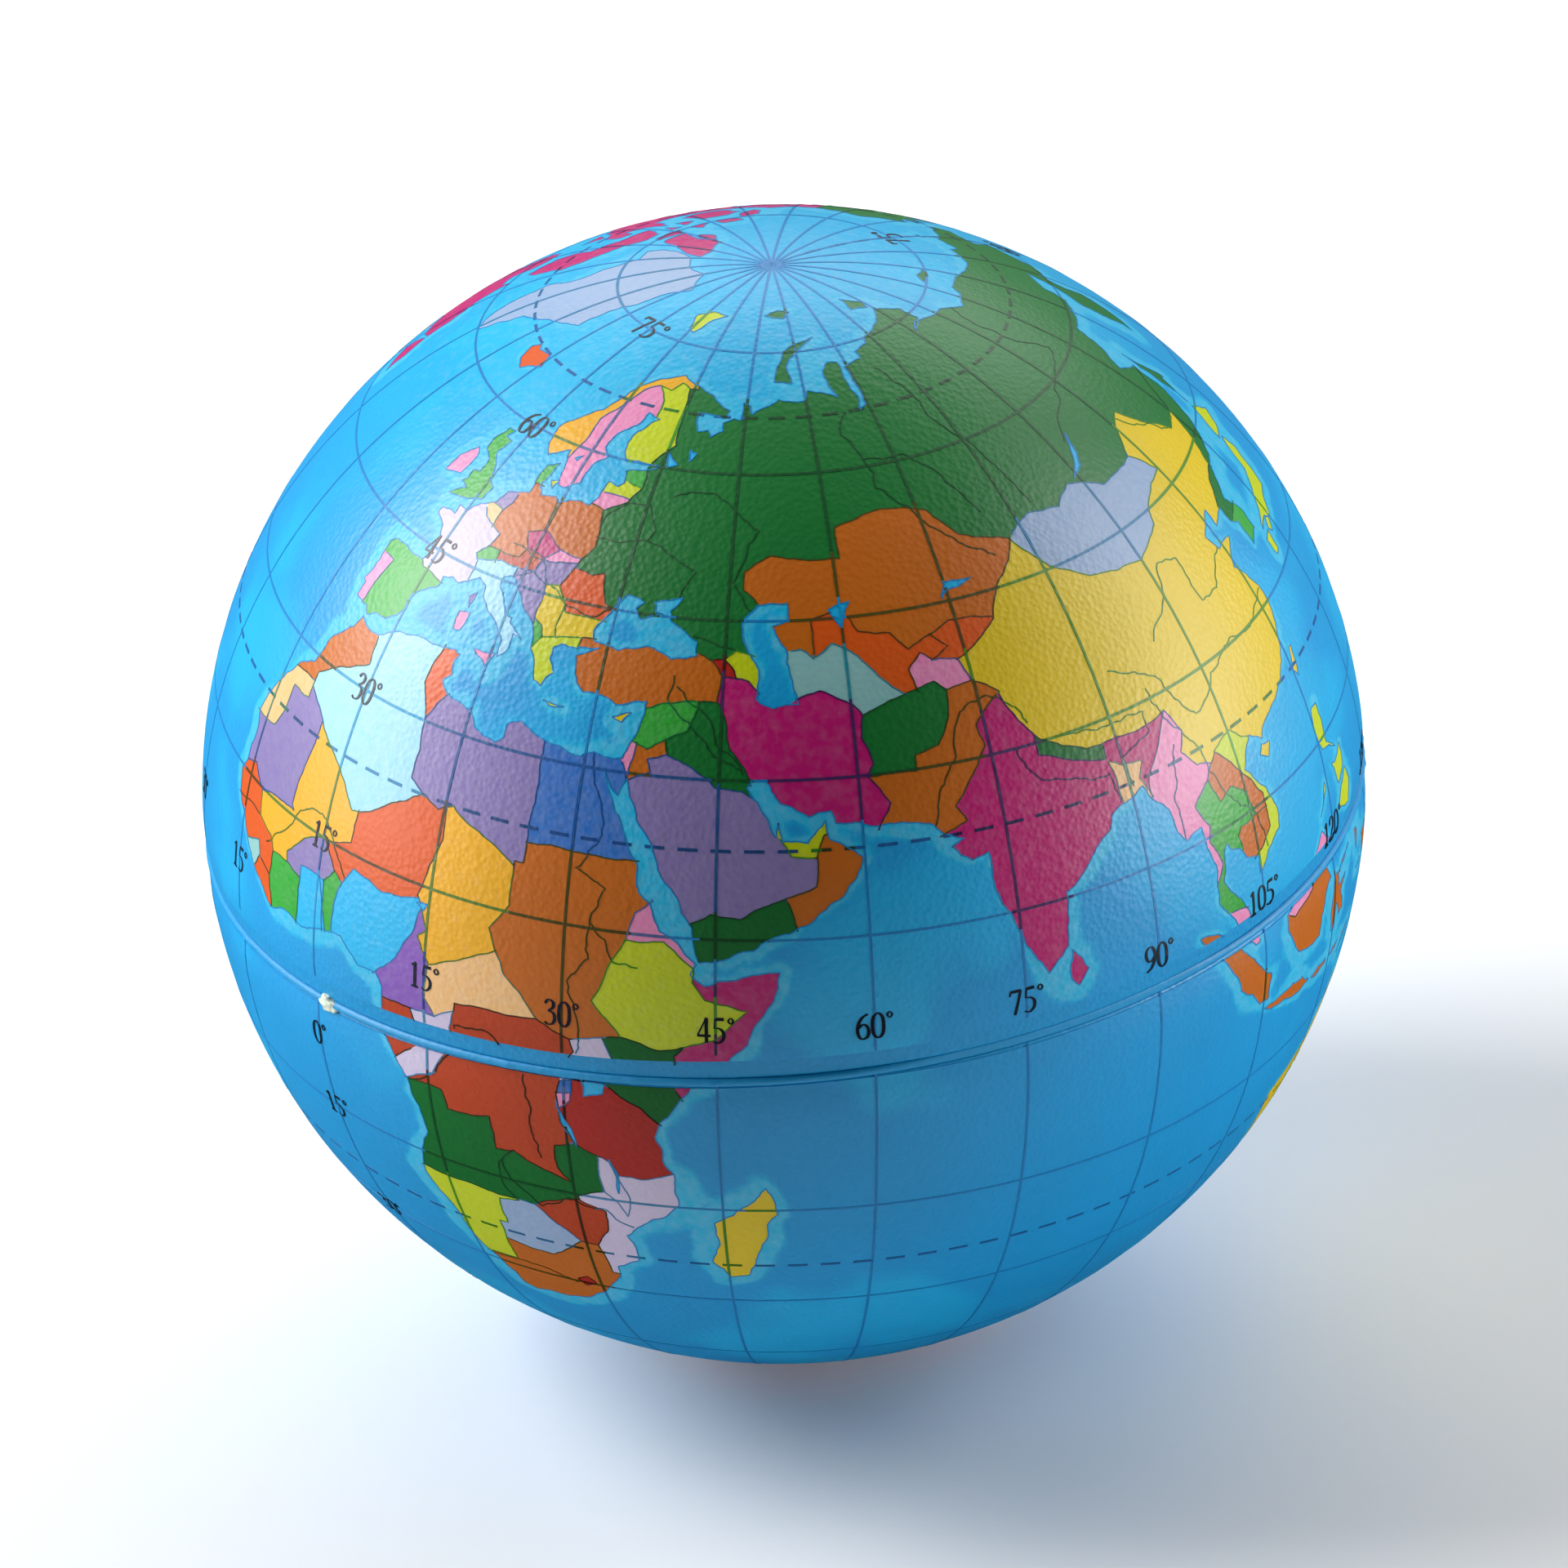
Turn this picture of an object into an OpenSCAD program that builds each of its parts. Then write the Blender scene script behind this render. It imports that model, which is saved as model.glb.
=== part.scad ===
// Squeeze ball printed as a world globe: one moulded foam ball with a printed skin.
// The origin is the centre of the ball and +Z runs through the printed north pole.
// All sizes are millimetres.

/* [Ball] */
// Outside diameter over the printed map, pole to pole
ball_d = 63; // [50:0.5:100]
// Thickness of the dense skin that the foam forms against the mould
skin_t = 1.2; // [0.8:0.1:2]
// Thickness of the printed map and its lacquer
print_t = 0.15; // [0.12:0.01:0.3]
// Glue line left between one layer and the next
layer_gap = 0.05; // [0.04:0.01:0.08]

/* [Seam] */
// Height of the plain band round the equator that carries no print
band_h = 1.8; // [1.6:0.1:3]
// Height of the parting line bead
bead_h = 1.2; // [1.1:0.1:1.5]
// How far the crest of the bead stands proud of the ball
bead_proud = 0.35; // [0.2:0.05:0.6]

/* [Filling gate] */
// Longitude that faces -Y, in degrees east
front_lon = 50; // [-180:5:180]
// Longitude of the trimmed filling gate, in degrees east
gate_lon = 0; // [-180:5:180]
// Diameter of the gate stub
gate_d = 0.9; // [0.6:0.1:1]
// Length of the gate stub, measured inwards from the ball's surface
gate_len = 5; // [3:0.5:8]

/* [Hidden] */

$fn = 96;
ball_r = ball_d / 2;
skin_out = ball_r - print_t - layer_gap;
skin_in = skin_out - skin_t;
core_r = skin_in - layer_gap;
half_band = band_h / 2;
half_bead = bead_h / 2;
// Radius of the arc that passes over the crest and both lower edges of the bead
crest_r = (half_bead * half_bead + bead_proud * bead_proud) / (2 * bead_proud);
crest_at = ball_r + bead_proud - crest_r;
gate_tip = ball_r + bead_proud / 2;
gate_angle = gate_lon - front_lon - 90;
clear_cube = 2 * ball_d;

// Everything above the height z
module above(z) {
    translate([-clear_cube / 2, -clear_cube / 2, z]) cube(clear_cube);
}

// A dome that is hollow between two radii and starts at the height z
module dome(outer, inner, z) {
    difference() {
        intersection() {
            sphere(r = outer);
            above(z);
        }
        sphere(r = inner);
    }
}

// A round rod that points out of the ball at the gate's longitude
module gate_rod(r) {
    rotate([0, 0, gate_angle])
        translate([ball_r - gate_len, 0, 0])
            rotate([0, 90, 0])
                cylinder(r = r, h = gate_tip - ball_r + gate_len);
}

// Cut section of the bead: straight flanks between the skins and an arched crest
module bead_section() {
    intersection() {
        union() {
            translate([crest_at, 0]) circle(r = crest_r);
            translate([skin_in, -half_bead]) square([crest_at - skin_in, bead_h]);
        }
        translate([skin_in, -half_bead]) square([2 * crest_r + skin_t, bead_h]);
    }
}

// Soft open foam that fills the ball
module foam_core() {
    color("ivory")
        difference() {
            sphere(r = core_r);
            gate_rod(gate_d / 2 + layer_gap);
        }
}

// Dense skin of the half above the seam
module north_skin() {
    color("deepskyblue") dome(skin_out, skin_in, half_bead);
}

// Dense skin of the half below the seam
module south_skin() {
    color("deepskyblue") mirror([0, 0, 1]) dome(skin_out, skin_in, half_bead);
}

// Bead that the foam forms where the two mould halves meet
module seam_bead() {
    color("dodgerblue")
        difference() {
            rotate_extrude() bead_section();
            gate_rod(gate_d / 2 + layer_gap);
        }
}

// Trimmed stub of foam in the hole that the mould was filled through
module gate_plug() {
    color("cornsilk") gate_rod(gate_d / 2);
}

// Printed map of the northern half
module north_print() {
    color("forestgreen") dome(ball_r, ball_r - print_t, half_band);
}

// Printed map of the southern half
module south_print() {
    color("steelblue") mirror([0, 0, 1]) dome(ball_r, ball_r - print_t, half_band);
}

foam_core();
north_skin();
south_skin();
seam_bead();
gate_plug();
north_print();
south_print();
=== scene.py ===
"""Foam squeeze ball printed as a political globe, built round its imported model.

The ball is one moulding: a soft foam core, a dense skin over each half, a plain seam band with a
raised bead, and the scar of the trimmed filling gate. A many-coloured map is printed on the skin.
Lengths are in metres. The print is drawn from longitudes and latitudes in degrees.
"""

from __future__ import annotations

import logging
import math
import random
from collections.abc import Iterable, Sequence
from dataclasses import dataclass, field
from enum import Enum

import bmesh
import bpy
import numpy as np
from mathutils import Matrix, Vector, noise
from mathutils.bvhtree import BVHTree
from mathutils.geometry import delaunay_2d_cdt
from mathutils.kdtree import KDTree

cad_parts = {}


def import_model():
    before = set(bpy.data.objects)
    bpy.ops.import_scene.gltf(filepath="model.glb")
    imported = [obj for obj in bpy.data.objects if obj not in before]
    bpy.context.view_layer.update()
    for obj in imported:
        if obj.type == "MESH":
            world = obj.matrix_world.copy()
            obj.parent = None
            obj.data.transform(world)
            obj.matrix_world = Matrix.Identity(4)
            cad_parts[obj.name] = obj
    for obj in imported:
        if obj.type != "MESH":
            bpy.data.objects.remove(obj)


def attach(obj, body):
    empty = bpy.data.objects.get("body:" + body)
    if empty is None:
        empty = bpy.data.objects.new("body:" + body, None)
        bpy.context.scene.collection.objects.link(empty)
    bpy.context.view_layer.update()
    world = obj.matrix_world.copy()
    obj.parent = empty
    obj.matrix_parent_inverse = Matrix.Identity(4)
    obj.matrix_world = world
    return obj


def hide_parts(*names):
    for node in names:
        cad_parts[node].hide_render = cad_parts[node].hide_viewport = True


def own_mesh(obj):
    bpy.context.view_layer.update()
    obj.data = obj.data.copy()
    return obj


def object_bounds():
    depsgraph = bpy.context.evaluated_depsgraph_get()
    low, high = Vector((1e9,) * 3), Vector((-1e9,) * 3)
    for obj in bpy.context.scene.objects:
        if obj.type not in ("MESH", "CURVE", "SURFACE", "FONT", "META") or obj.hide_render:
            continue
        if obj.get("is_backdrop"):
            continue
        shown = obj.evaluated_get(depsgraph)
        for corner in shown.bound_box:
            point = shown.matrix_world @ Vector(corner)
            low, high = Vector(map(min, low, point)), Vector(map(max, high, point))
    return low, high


log = logging.getLogger("squeeze_ball")
MM = 0.001
# Places of a Mix node's colour sockets
MIX_A, MIX_B, MIX_OUT = 6, 7, 2
# A direction that no island lies in
ASLANT = (0.31, 0.22, 0.93)
Colour = tuple[float, float, float]
LonLat = tuple[float, float]


# The printed map


class Ink(Enum):
    """The spot colours of the map, as linear red, green and blue."""

    SEA = (0.0, 0.3, 0.66)
    LAKE = (0.05, 0.44, 0.76)
    GREEN = (0.0, 0.16, 0.022)
    LEAF = (0.06, 0.37, 0.065)
    LIME = (0.52, 0.61, 0.04)
    YELLOW = (0.7, 0.52, 0.03)
    GOLD = (0.78, 0.41, 0.045)
    PEACH = (0.8, 0.5, 0.25)
    ORANGE = (0.52, 0.13, 0.008)
    VERMILION = (0.66, 0.1, 0.015)
    BRICK = (0.46, 0.055, 0.016)
    RED = (0.43, 0.018, 0.01)
    ROSE = (0.48, 0.045, 0.18)
    PINK = (0.76, 0.29, 0.49)
    MAUVE = (0.245, 0.2, 0.42)
    VIOLET = (0.24, 0.125, 0.45)
    INDIGO = (0.075, 0.08, 0.3)
    SLATE = (0.075, 0.185, 0.51)
    STEEL = (0.3, 0.41, 0.6)
    MIST = (0.35, 0.64, 0.82)
    PALE = (0.57, 0.51, 0.68)
    SAGE = (0.26, 0.5, 0.5)


# Coasts of the two great land masses, each line starting where the one before it ends.
OLD_WORLD = (
    # North Africa, from the strait to the isthmus
    "-5.9 35.8, -4.4 35.2, -2 35.1, 1 36.5, 3.5 36.9, 7.5 37, 10 37.3, 11 37, 10.5 36.2, 11 35,"
    "10 34.2, 11.2 33.2, 13 32.9, 15.2 32.3, 16 31.2, 19 30.3, 20 31, 20 32.2, 21.6 32.9,"
    "23.2 32.2, 25.2 31.6, 28 31, 29.5 30.9, 31 31.5, 32.3 31.2",
    # The Levant and Anatolia
    "32.3 31.2, 34.2 31.3, 35 33, 35.8 35, 36.1 36.8, 34 36.4, 32.5 36.1, 30.6 36.8, 28.2 36.8,"
    "27.2 37.5, 26.5 39.2, 26.2 40, 29 41.1",
    # Thrace, Greece and the east of the Adriatic
    "29 41.1, 27.5 40.9, 26 40.7, 24 40.8, 23 40.3, 23 39.2, 24 38, 23.2 37.4, 22.8 36.5,"
    "21.7 36.9, 21.2 38.2, 20 39.7, 19.4 41.6, 17 43.2, 15 44.8, 13.7 45.7",
    # Italy
    "13.7 45.7, 12.3 45.3, 12.5 44.2, 13.7 43.4, 14.8 42.1, 16 41.9, 16 41.4, 18.4 40.2, 17 40.5,"
    "17.1 39, 16 38, 15.8 39.6, 14 41, 12.3 41.7, 10.5 43, 10.2 43.9, 8.8 44.4, 7.5 43.8",
    # France and Iberia
    "7.5 43.8, 6 43.1, 4.7 43.4, 3.1 43, 3.2 42, 0.8 40.8, -0.3 39.3, 0.2 38.7, -0.8 37.6,"
    "-2.2 36.8, -4.4 36.7, -5.5 36.1, -6.4 36.8, -8.9 37, -8.8 38.5, -9.5 38.7, -8.8 41,"
    "-9.2 43.1, -8 43.7, -4 43.4, -1.8 43.4, -1.2 44.5, -1.2 46, -2.3 47.2, -4.6 48, -4.5 48.6,"
    "-1.6 48.7, -1.8 49.7, 0.2 49.6, 1.6 50.8",
    # The North Sea and the Baltic
    "1.6 50.8, 4 51.6, 4.8 53, 7 53.5, 8.6 53.8, 8.2 55.5, 8.4 57, 10.6 57.7, 10.3 56.3, 9.6 55,"
    "11 54, 13.5 54.4, 14.5 53.9, 18.5 54.7, 20 54.5, 21 55.6, 21.4 57.4, 23.5 57.1, 24.3 57.6,"
    "23.6 58.9, 28 59.5, 30 60, 25 60.2, 22.9 59.9, 21.4 61, 21.3 62.8, 24 64.8, 25.3 65.2,"
    "22 65.7, 21 64, 17.5 62, 17.2 60.7, 18.8 59.8, 16.7 58.5, 16.4 56.4, 14.3 55.5, 12.9 55.5,"
    "11.5 58, 10.7 59.3, 9.5 58.9, 7 58, 5.5 59",
    # Norway and the White Sea
    "5.5 59, 5 61.5, 8 63.2, 11 64.5, 13 66.3, 15 68.3, 19 69.8, 25.7 71, 30.5 70, 32 69.8,"
    "36 69, 41 67.3, 40 66.3, 33.5 66.7, 34.8 64.5, 37 64.8, 38 64, 40.3 64.8, 40 65.8, 42.5 66.4,"
    "44 66.2, 44 68.4, 46 68, 46.5 66.9, 53 68.8",
    # The Arctic coast
    "53 68.8, 59.5 68.4, 61 69.7, 65 69.2, 68.5 68.3, 67 70, 67 72, 69.5 73, 72.5 72.8, 72.6 70,"
    "73.5 68, 72 66.3, 74.5 67, 74.8 69, 74 72, 80.5 72.6, 80.5 73.6, 86 74.2, 87 75, 98 76.2,"
    "104 77.7, 113 75.9, 113 74, 106 73, 110 73.9, 119 73, 123 73, 127 72, 130 71, 137 71.6,"
    "140 72.5, 150 71.6, 160 69.7, 170 70, 171 69, 178 69.5, 183 68, 190 66",
    # The north-east of Asia
    "190 66, 187 64.4, 180 65, 178 64.6, 179.5 62.6, 170.5 60, 163.5 59.9, 162 58, 163 56,"
    "160 53, 156.7 51, 155.6 55, 156 57.5, 161 60.5, 163 62.4, 157 61.7, 154.5 59.5, 143 59.3,"
    "137 54.5, 141 53, 140.5 50, 138 46.5, 133 42.8, 130.7 42.3",
    # Korea and China
    "130.7 42.3, 129.7 41.5, 127.5 39.6, 129.4 37, 129.2 35.2, 126.4 34.4, 126.5 37.2, 125 38,"
    "125 39.6, 121.6 38.9, 121.8 40.8, 118 39.1, 119 37.3, 122.6 37.3, 119.4 35, 121.8 31.8,"
    "121.9 30, 119.7 26, 117 23.6, 113.5 22.3, 110.5 21.2, 109.9 20.4, 108 21.6",
    # Indochina and Malaya
    "108 21.6, 106.5 20.2, 105.7 19, 108.3 16, 109.3 13, 109 11.5, 106.7 10.3, 104.8 8.6,"
    "105 10.2, 103 11, 102.2 12.3, 100.9 12.8, 100.5 13.5, 99.9 12.5, 99.3 10, 100.3 8.5,"
    "102 6.3, 103.4 4, 104.2 1.4, 103.5 1.3, 101.3 2.8, 100.4 5.5, 98.3 8, 98.6 12, 97.6 16.4,"
    "95.4 15.8, 94.4 17, 94 19.5, 92 21.5, 91.5 22.7, 90 22, 88 21.7",
    # India
    "88 21.7, 87 21.2, 86.5 20, 82.3 16.7, 80.3 15.5, 80.2 13, 79.8 10.3, 78.2 8.8, 77.5 8.1,"
    "76.4 9.8, 74.8 13, 73.4 16, 72.8 19, 72.7 21.2, 70.9 20.7, 69 22.3, 70.4 22.9, 68.2 23.7,"
    "67 24.8",
    # The Gulf and Arabia
    "67 24.8, 64 25.3, 61.6 25.2, 57.3 25.8, 56.8 27, 54.5 26.5, 51.5 27.9, 50 30.1, 48.5 30,"
    "48 29.3, 50.1 26.6, 51 24.7, 51.3 26.1, 51.7 24.3, 54.3 24.1, 56.2 26.2, 56.5 24.4,"
    "59.8 22.5, 57.7 19, 55.2 17.4, 52.2 15.6, 48.7 14, 45 12.8, 43.4 12.7, 42.7 16, 41 19,"
    "39.1 21.3, 38 24, 35.5 27.8, 35 29.5, 34.2 27.8, 33.2 28.7, 32.5 30",
    # East Africa
    "32.5 30, 33 28.5, 34 26.5, 35.5 24, 37 21.5, 37.3 19, 38.5 18, 39.5 15.5, 41.2 14.6,"
    "43.2 12.5, 42.6 11.5, 44 10.4, 47 11.1, 51.2 11.9, 51 10.4, 49.8 8, 48 4.5, 45.5 2.2,"
    "42.5 -0.5, 41.5 -1.8, 39.6 -4.3, 38.9 -6.2, 39.5 -7.5, 39.5 -9, 40.5 -10.7, 40.7 -14.7,"
    "39.2 -16.5, 36.9 -17.9, 34.8 -20, 35.5 -22, 35.4 -24, 32.9 -25.5, 32.8 -27.5, 31.3 -29.5",
    # The Cape and West Africa
    "31.3 -29.5, 29 -32, 27 -33.6, 24.8 -34.2, 22 -34.2, 20 -34.8, 18.5 -34, 18.2 -32, 17 -29.5,"
    "15.3 -27, 14.5 -23.5, 13.4 -21, 11.8 -18, 12.3 -15, 13.8 -12, 13.3 -9, 12.3 -6, 11 -4,"
    "9.3 -2, 8.8 -0.7, 9.7 1, 9.8 3.2, 8.9 4.5, 6.5 4.3, 5 5.5, 4 6.4, 1.2 6, -2 4.8, -4 5.2,"
    "-7.6 4.4, -9.3 5.6, -11.4 6.9, -13.2 8.6, -14.8 10.8, -16.7 12.4, -17.4 14.7, -16.5 16,"
    "-16.2 19, -17 21, -16 23.7, -14.4 26.2, -12.9 27.9, -10.2 29.2, -9.7 30.6, -9.2 32.4,"
    "-7.6 33.7, -6.5 34.5, -5.9 35.8",
)
NEW_WORLD = (
    # The Arctic coast, from the Bering Strait to Hudson Bay
    "-168 65.6, -163 66.6, -166.5 68.3, -156.5 71.3, -141 69.7, -135 69.4, -128 70.4, -124 69.5,"
    "-115 68.3, -108 68, -101 67.7, -96 68.2, -94 71.8, -92 69.7, -90 68.5, -87 67.8, -85.5 69.6,"
    "-82 69, -82 67, -87 65.5, -88 64, -94 60.5, -94.8 58.5, -92.5 57, -85 55.3, -82.2 55,"
    "-82 52.9, -79 51.3, -79 54.7, -76.6 57.3, -78.4 60, -77.5 62.4, -73.5 62.4, -70 61,"
    "-69.5 58.9, -66 58.7, -64.5 60.3",
    # The Atlantic coast
    "-64.5 60.3, -61.5 57, -57 54.5, -56 51.8, -60 50.2, -66.5 50.1, -69 48.4, -64.5 49, -65 47,"
    "-61.3 45.7, -66 43.6, -65 45.5, -67 45, -70.5 43.3, -70 41.7, -74 40.6, -75.5 38,"
    "-76 36.9, -75.6 35.3, -78 34, -81.2 31.5, -81.4 30, -80 27, -80.4 25.2, -81.8 26,"
    "-82.8 28, -84 30.1, -89 30.3, -89.5 29.2, -94 29.5, -97.2 27.8, -97.3 25.5, -97.8 22.5,"
    "-96 19, -94.3 18.2, -91.5 18.6, -90.4 21, -87 21.5, -88 18.5, -88.6 15.9, -83.3 15,"
    "-83.7 11, -82 9, -79.5 9.6, -77.4 8.7",
    # The east of South America
    "-77.4 8.7, -75.5 10.7, -73 11.3, -71.6 12.2, -71.5 11, -70 12, -68 10.5, -62 10.7,"
    "-60.5 8.5, -57 6, -51.5 4.2, -50 0, -48 -0.8, -44.3 -2.7, -40 -2.9, -35.3 -5.2, -35 -8.5,"
    "-39 -13, -39.2 -17.5, -41 -22, -44.5 -23.2, -48.5 -26, -48.7 -28.5, -52 -32.5, -54.5 -34.9,"
    "-58.3 -34.2, -57 -36.5, -62 -39, -65 -41, -63.7 -42.5, -65.5 -45, -67.5 -46.3, -65.8 -47.5,"
    "-69 -51, -68.3 -53, -65.2 -54.7",
    # The Pacific coast
    "-65.2 -54.7, -70 -55.2, -74.5 -52, -75.5 -47, -73 -44, -73.8 -41.5, -73.5 -37, -71.5 -32,"
    "-70.5 -25, -70.3 -18.4, -76 -14, -77.2 -11.7, -81.3 -6, -81.2 -4.4, -80 -2.5, -80.6 -0.5,"
    "-78.8 1.5, -77 4, -77.7 7, -79 9, -80.3 8, -83 8.2, -85.7 10, -87.6 12.9, -92 14.5, -95 16,"
    "-98.5 16.4, -105.5 20, -105.5 22.5, -109.3 25.7, -113 31, -114.8 31.7, -112.5 28,"
    "-109.5 23, -112 24.8, -114 27.2, -115.8 29.5, -117.1 32.5, -120.6 34.5, -122.4 37.5,"
    "-124.3 40.4, -124.1 46.2, -124.7 48.3, -122.8 49, -127.5 51, -130.5 54.5, -134 58,"
    "-140 59.8, -146 60.8, -151.5 59.3, -151.3 61, -154 59, -158.5 56.2, -164.5 54.7,"
    "-158 58.5, -162 58.8, -162 60, -165 61, -164 63, -161 64.3, -168 65.6",
)
# Closed outlines of the islands of one colour, by ink.
ISLANDS: dict[Ink, tuple[str, ...]] = {
    Ink.LEAF: (
        "-5.6 50.1, -3.5 50.3, 1.3 51.2, 1.7 52.7, 0.2 53.2, -1.5 55, -3 56, -2 57.5, -4 57.7,"
        "-3.2 58.6, -5 58.5, -6 57, -5.5 55.5, -3.3 54.9, -3 53.4, -4.5 53.2, -4.2 52.2, -5 51.7,"
        "-3 51.4",
        "-74.3 18.5, -72.8 19.9, -68.5 18.6, -71.3 17.8",
        "166.6 -45.8, 168.5 -46.6, 170.7 -45.9, 172.8 -43.8, 174.2 -41.7, 172.7 -40.6, 170.5 -43",
        "172.8 -34.5, 175.5 -36.7, 178.5 -37.7, 176.9 -39.5, 175.2 -41.6, 173.8 -39.3,"
        "174.7 -37.5",
    ),
    Ink.PINK: (
        "-6 54.5, -6.3 52.2, -9.8 51.6, -9.5 53.5, -8.4 54.5, -7.3 55.3",
        "8.2 40.8, 9.8 41, 9.5 39.1, 8.4 39",
        "12.5 38, 15.6 38.2, 15.1 36.7",
        "-84.8 22, -82 23.1, -77 21.6, -74.3 20.2, -77.5 19.9, -78 21, -82.3 22.5",
    ),
    Ink.VERMILION: ("-24 65.5, -22 64, -18.7 63.4, -14 65, -16 66.4, -20.5 66, -22.5 66.4",),
    Ink.LIME: (
        "11 79, 14 77, 17 76.6, 20 78.5, 27 80, 18 80.2",
        "120 16, 120.7 14, 124 12.7, 122 14.2, 122.2 18.4, 120.6 18.4",
        "122 7, 125.5 5.8, 126.4 8, 125.5 9.7, 123.5 8.5",
        "122 11.8, 123 9.2, 125.2 10.3, 125.3 12.5, 123 11.5",
        "117.3 8.4, 119.5 10.5, 119.3 11.2",
        "140 41.6, 143.2 42, 145.5 43.3, 142 45.4, 140.5 43.3",
        "131 34, 133.5 34.4, 135.5 33.6, 137 34.6, 140 35, 141 37, 142 39.5, 141.2 41.3, 140 40.5,"
        "138.7 37.8, 136.8 37, 134 35.6, 131.5 34.6",
        "130 33.2, 130.3 31.3, 131.5 31.5, 132 33.5",
        "132.4 33.4, 133 32.8, 134.5 33.8, 133.8 34.3",
        "23.6 35.3, 26.3 35.1, 24.5 34.9",
        "11 55.7, 12.6 56, 12 54.9",
        "177.3 -17.8, 178.6 -18.1, 178 -17.4",
    ),
    Ink.GREEN: (
        "52 71, 57 70.7, 56 73, 60 75, 68.5 76.8, 62 76.2, 55 75, 53 73",
        "47 80.5, 58 80, 62 81, 55 81.4",
        "95 79, 103 78.3, 105 79.3, 97 81",
        "138 75, 145 74.8, 150 75.2, 143 76",
        "179 71, 182 71.3, 180.5 71.6",
        "142.2 46, 143.5 49.3, 144.4 49, 143 52, 142.6 54.3, 141.8 52, 142 49",
        "155 -6, 160.5 -9.5, 157.5 -8",
        "-154.5 57.3, -152.3 58.3, -152.5 57.3",
    ),
    Ink.YELLOW: (
        "120.1 23, 120.8 22, 121.9 25, 121.2 25",
        "108.7 19.2, 110 18.4, 111 19.7, 109.5 20",
        "49.3 -12, 50.4 -15.5, 49.3 -17, 47.2 -25, 45 -25.5, 43.4 -22.8, 44.4 -20, 44 -17,"
        "46 -15.7",
        "32.3 35, 34.5 35.6, 33.5 34.6",
        "-78.3 18.3, -76.3 18, -77.2 17.8",
    ),
    Ink.VIOLET: (
        "8.6 42.4, 9.5 43, 9.3 41.4",
        "164 -20.2, 167 -22.3, 165.5 -21.7",
    ),
    Ink.ROSE: (
        "79.8 8, 80.2 9.8, 81.8 7.5, 80.6 6, 79.9 6.8",
        "-80 73.7, -74 71.8, -68 70.2, -62 67, -64 63.5, -66 62, -72 64, -73 65.5, -73 68,"
        "-79 70, -89 70.8, -86 73.5",
        "-117 70, -116 71, -119 71.7, -114 73, -105 73, -102 70, -106 69, -114 69.2",
        "-125 72, -123 71.3, -118 73, -117 75, -124 74",
        "-90 76.5, -79 76.2, -75 78.5, -64 81.5, -62 82.5, -75 83, -90 82, -92 81, -87 79",
        "-90 76.3, -80 75.3, -81 74.6, -92 74.8",
        "-116 75.5, -106 75, -108 76.5, -117 76.3",
        "-104 75.2, -96 75.2, -99 76.5",
        "-96 80, -90 78.2, -88 80, -92 81.2",
        "-95 74, -90.5 73.8, -92 72.3",
        "-102 72.8, -97 73.7, -97 71.7",
        "-87 63.8, -80.5 64, -84 65.8",
        "-59.3 47.7, -53 46.8, -53.6 49.3, -55.8 51.5, -57.5 50.5",
        "-128.3 50.7, -124 48.5, -125 50",
        "-133 54, -131.7 54, -131.3 52.3",
    ),
    Ink.ORANGE: (
        "95.3 5.6, 97.5 5.2, 100 2.8, 103.8 -1, 106 -3, 105.8 -5.8, 104.3 -5.7, 101 -2.6,"
        "98.7 1.7",
        "105.2 -6.7, 108.5 -6.7, 112.7 -6.9, 114.5 -8.2, 111 -8.3, 106.5 -7.4",
        "119.5 -5.5, 119 -3, 120 0.5, 125 1.5, 121 0.3, 121 -1, 123.3 -0.8, 121.8 -2,"
        "122.8 -4.5, 121.5 -4.6, 120.6 -2.8, 120.4 -5.5",
        "123.5 -10.3, 127 -8.4, 125 -8.7",
        "115 -8.3, 119 -8.3, 119 -8.8, 116 -8.9",
        "119.9 -8.5, 123 -8.3, 122 -8.8",
        "127.6 1.5, 128.6 1.2, 128 -0.8",
        "128 -3, 130.8 -3.3, 129.5 -3.5",
        "144.7 -40.8, 148.3 -40.9, 147 -43.5, 145.5 -42.8",
    ),
    Ink.STEEL: (
        "-44 60, -42.5 62.5, -40 65.3, -32 68, -22 70.3, -22 73, -19 76, -18 79, -12 81.5,"
        "-30 83.5, -45 82, -60 81.8, -66 80.3, -70 78, -68 76, -60 76, -55.5 73, -51.5 70.5,"
        "-53.5 67, -51.5 64, -48 61",
        ),
    Ink.MAUVE: (
        "148.5 -5.6, 152.2 -4.2, 151.8 -5.5, 149.5 -6.2",
        "-67.2 18.4, -65.7 18.3, -66.5 18",
        "-61 -51.5, -58 -51.5, -59.5 -52.2",
    ),
    Ink.PALE: (
        "-57 -63.5, -61 -66, -65 -70, -75 -73, -100 -74, -115 -74, -135 -74.5, -150 -77,"
        "-160 -78.5, 175 -78.3, 165 -77.5, 170 -72, 155 -69, 135 -66.3, 110 -66, 90 -66.7,"
        "75 -69.5, 60 -67, 45 -68, 30 -69.5, 10 -70.3, -10 -71.5, -25 -75, -35 -78, -55 -78,"
        "-62 -73, -60 -66",
    ),
}
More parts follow.
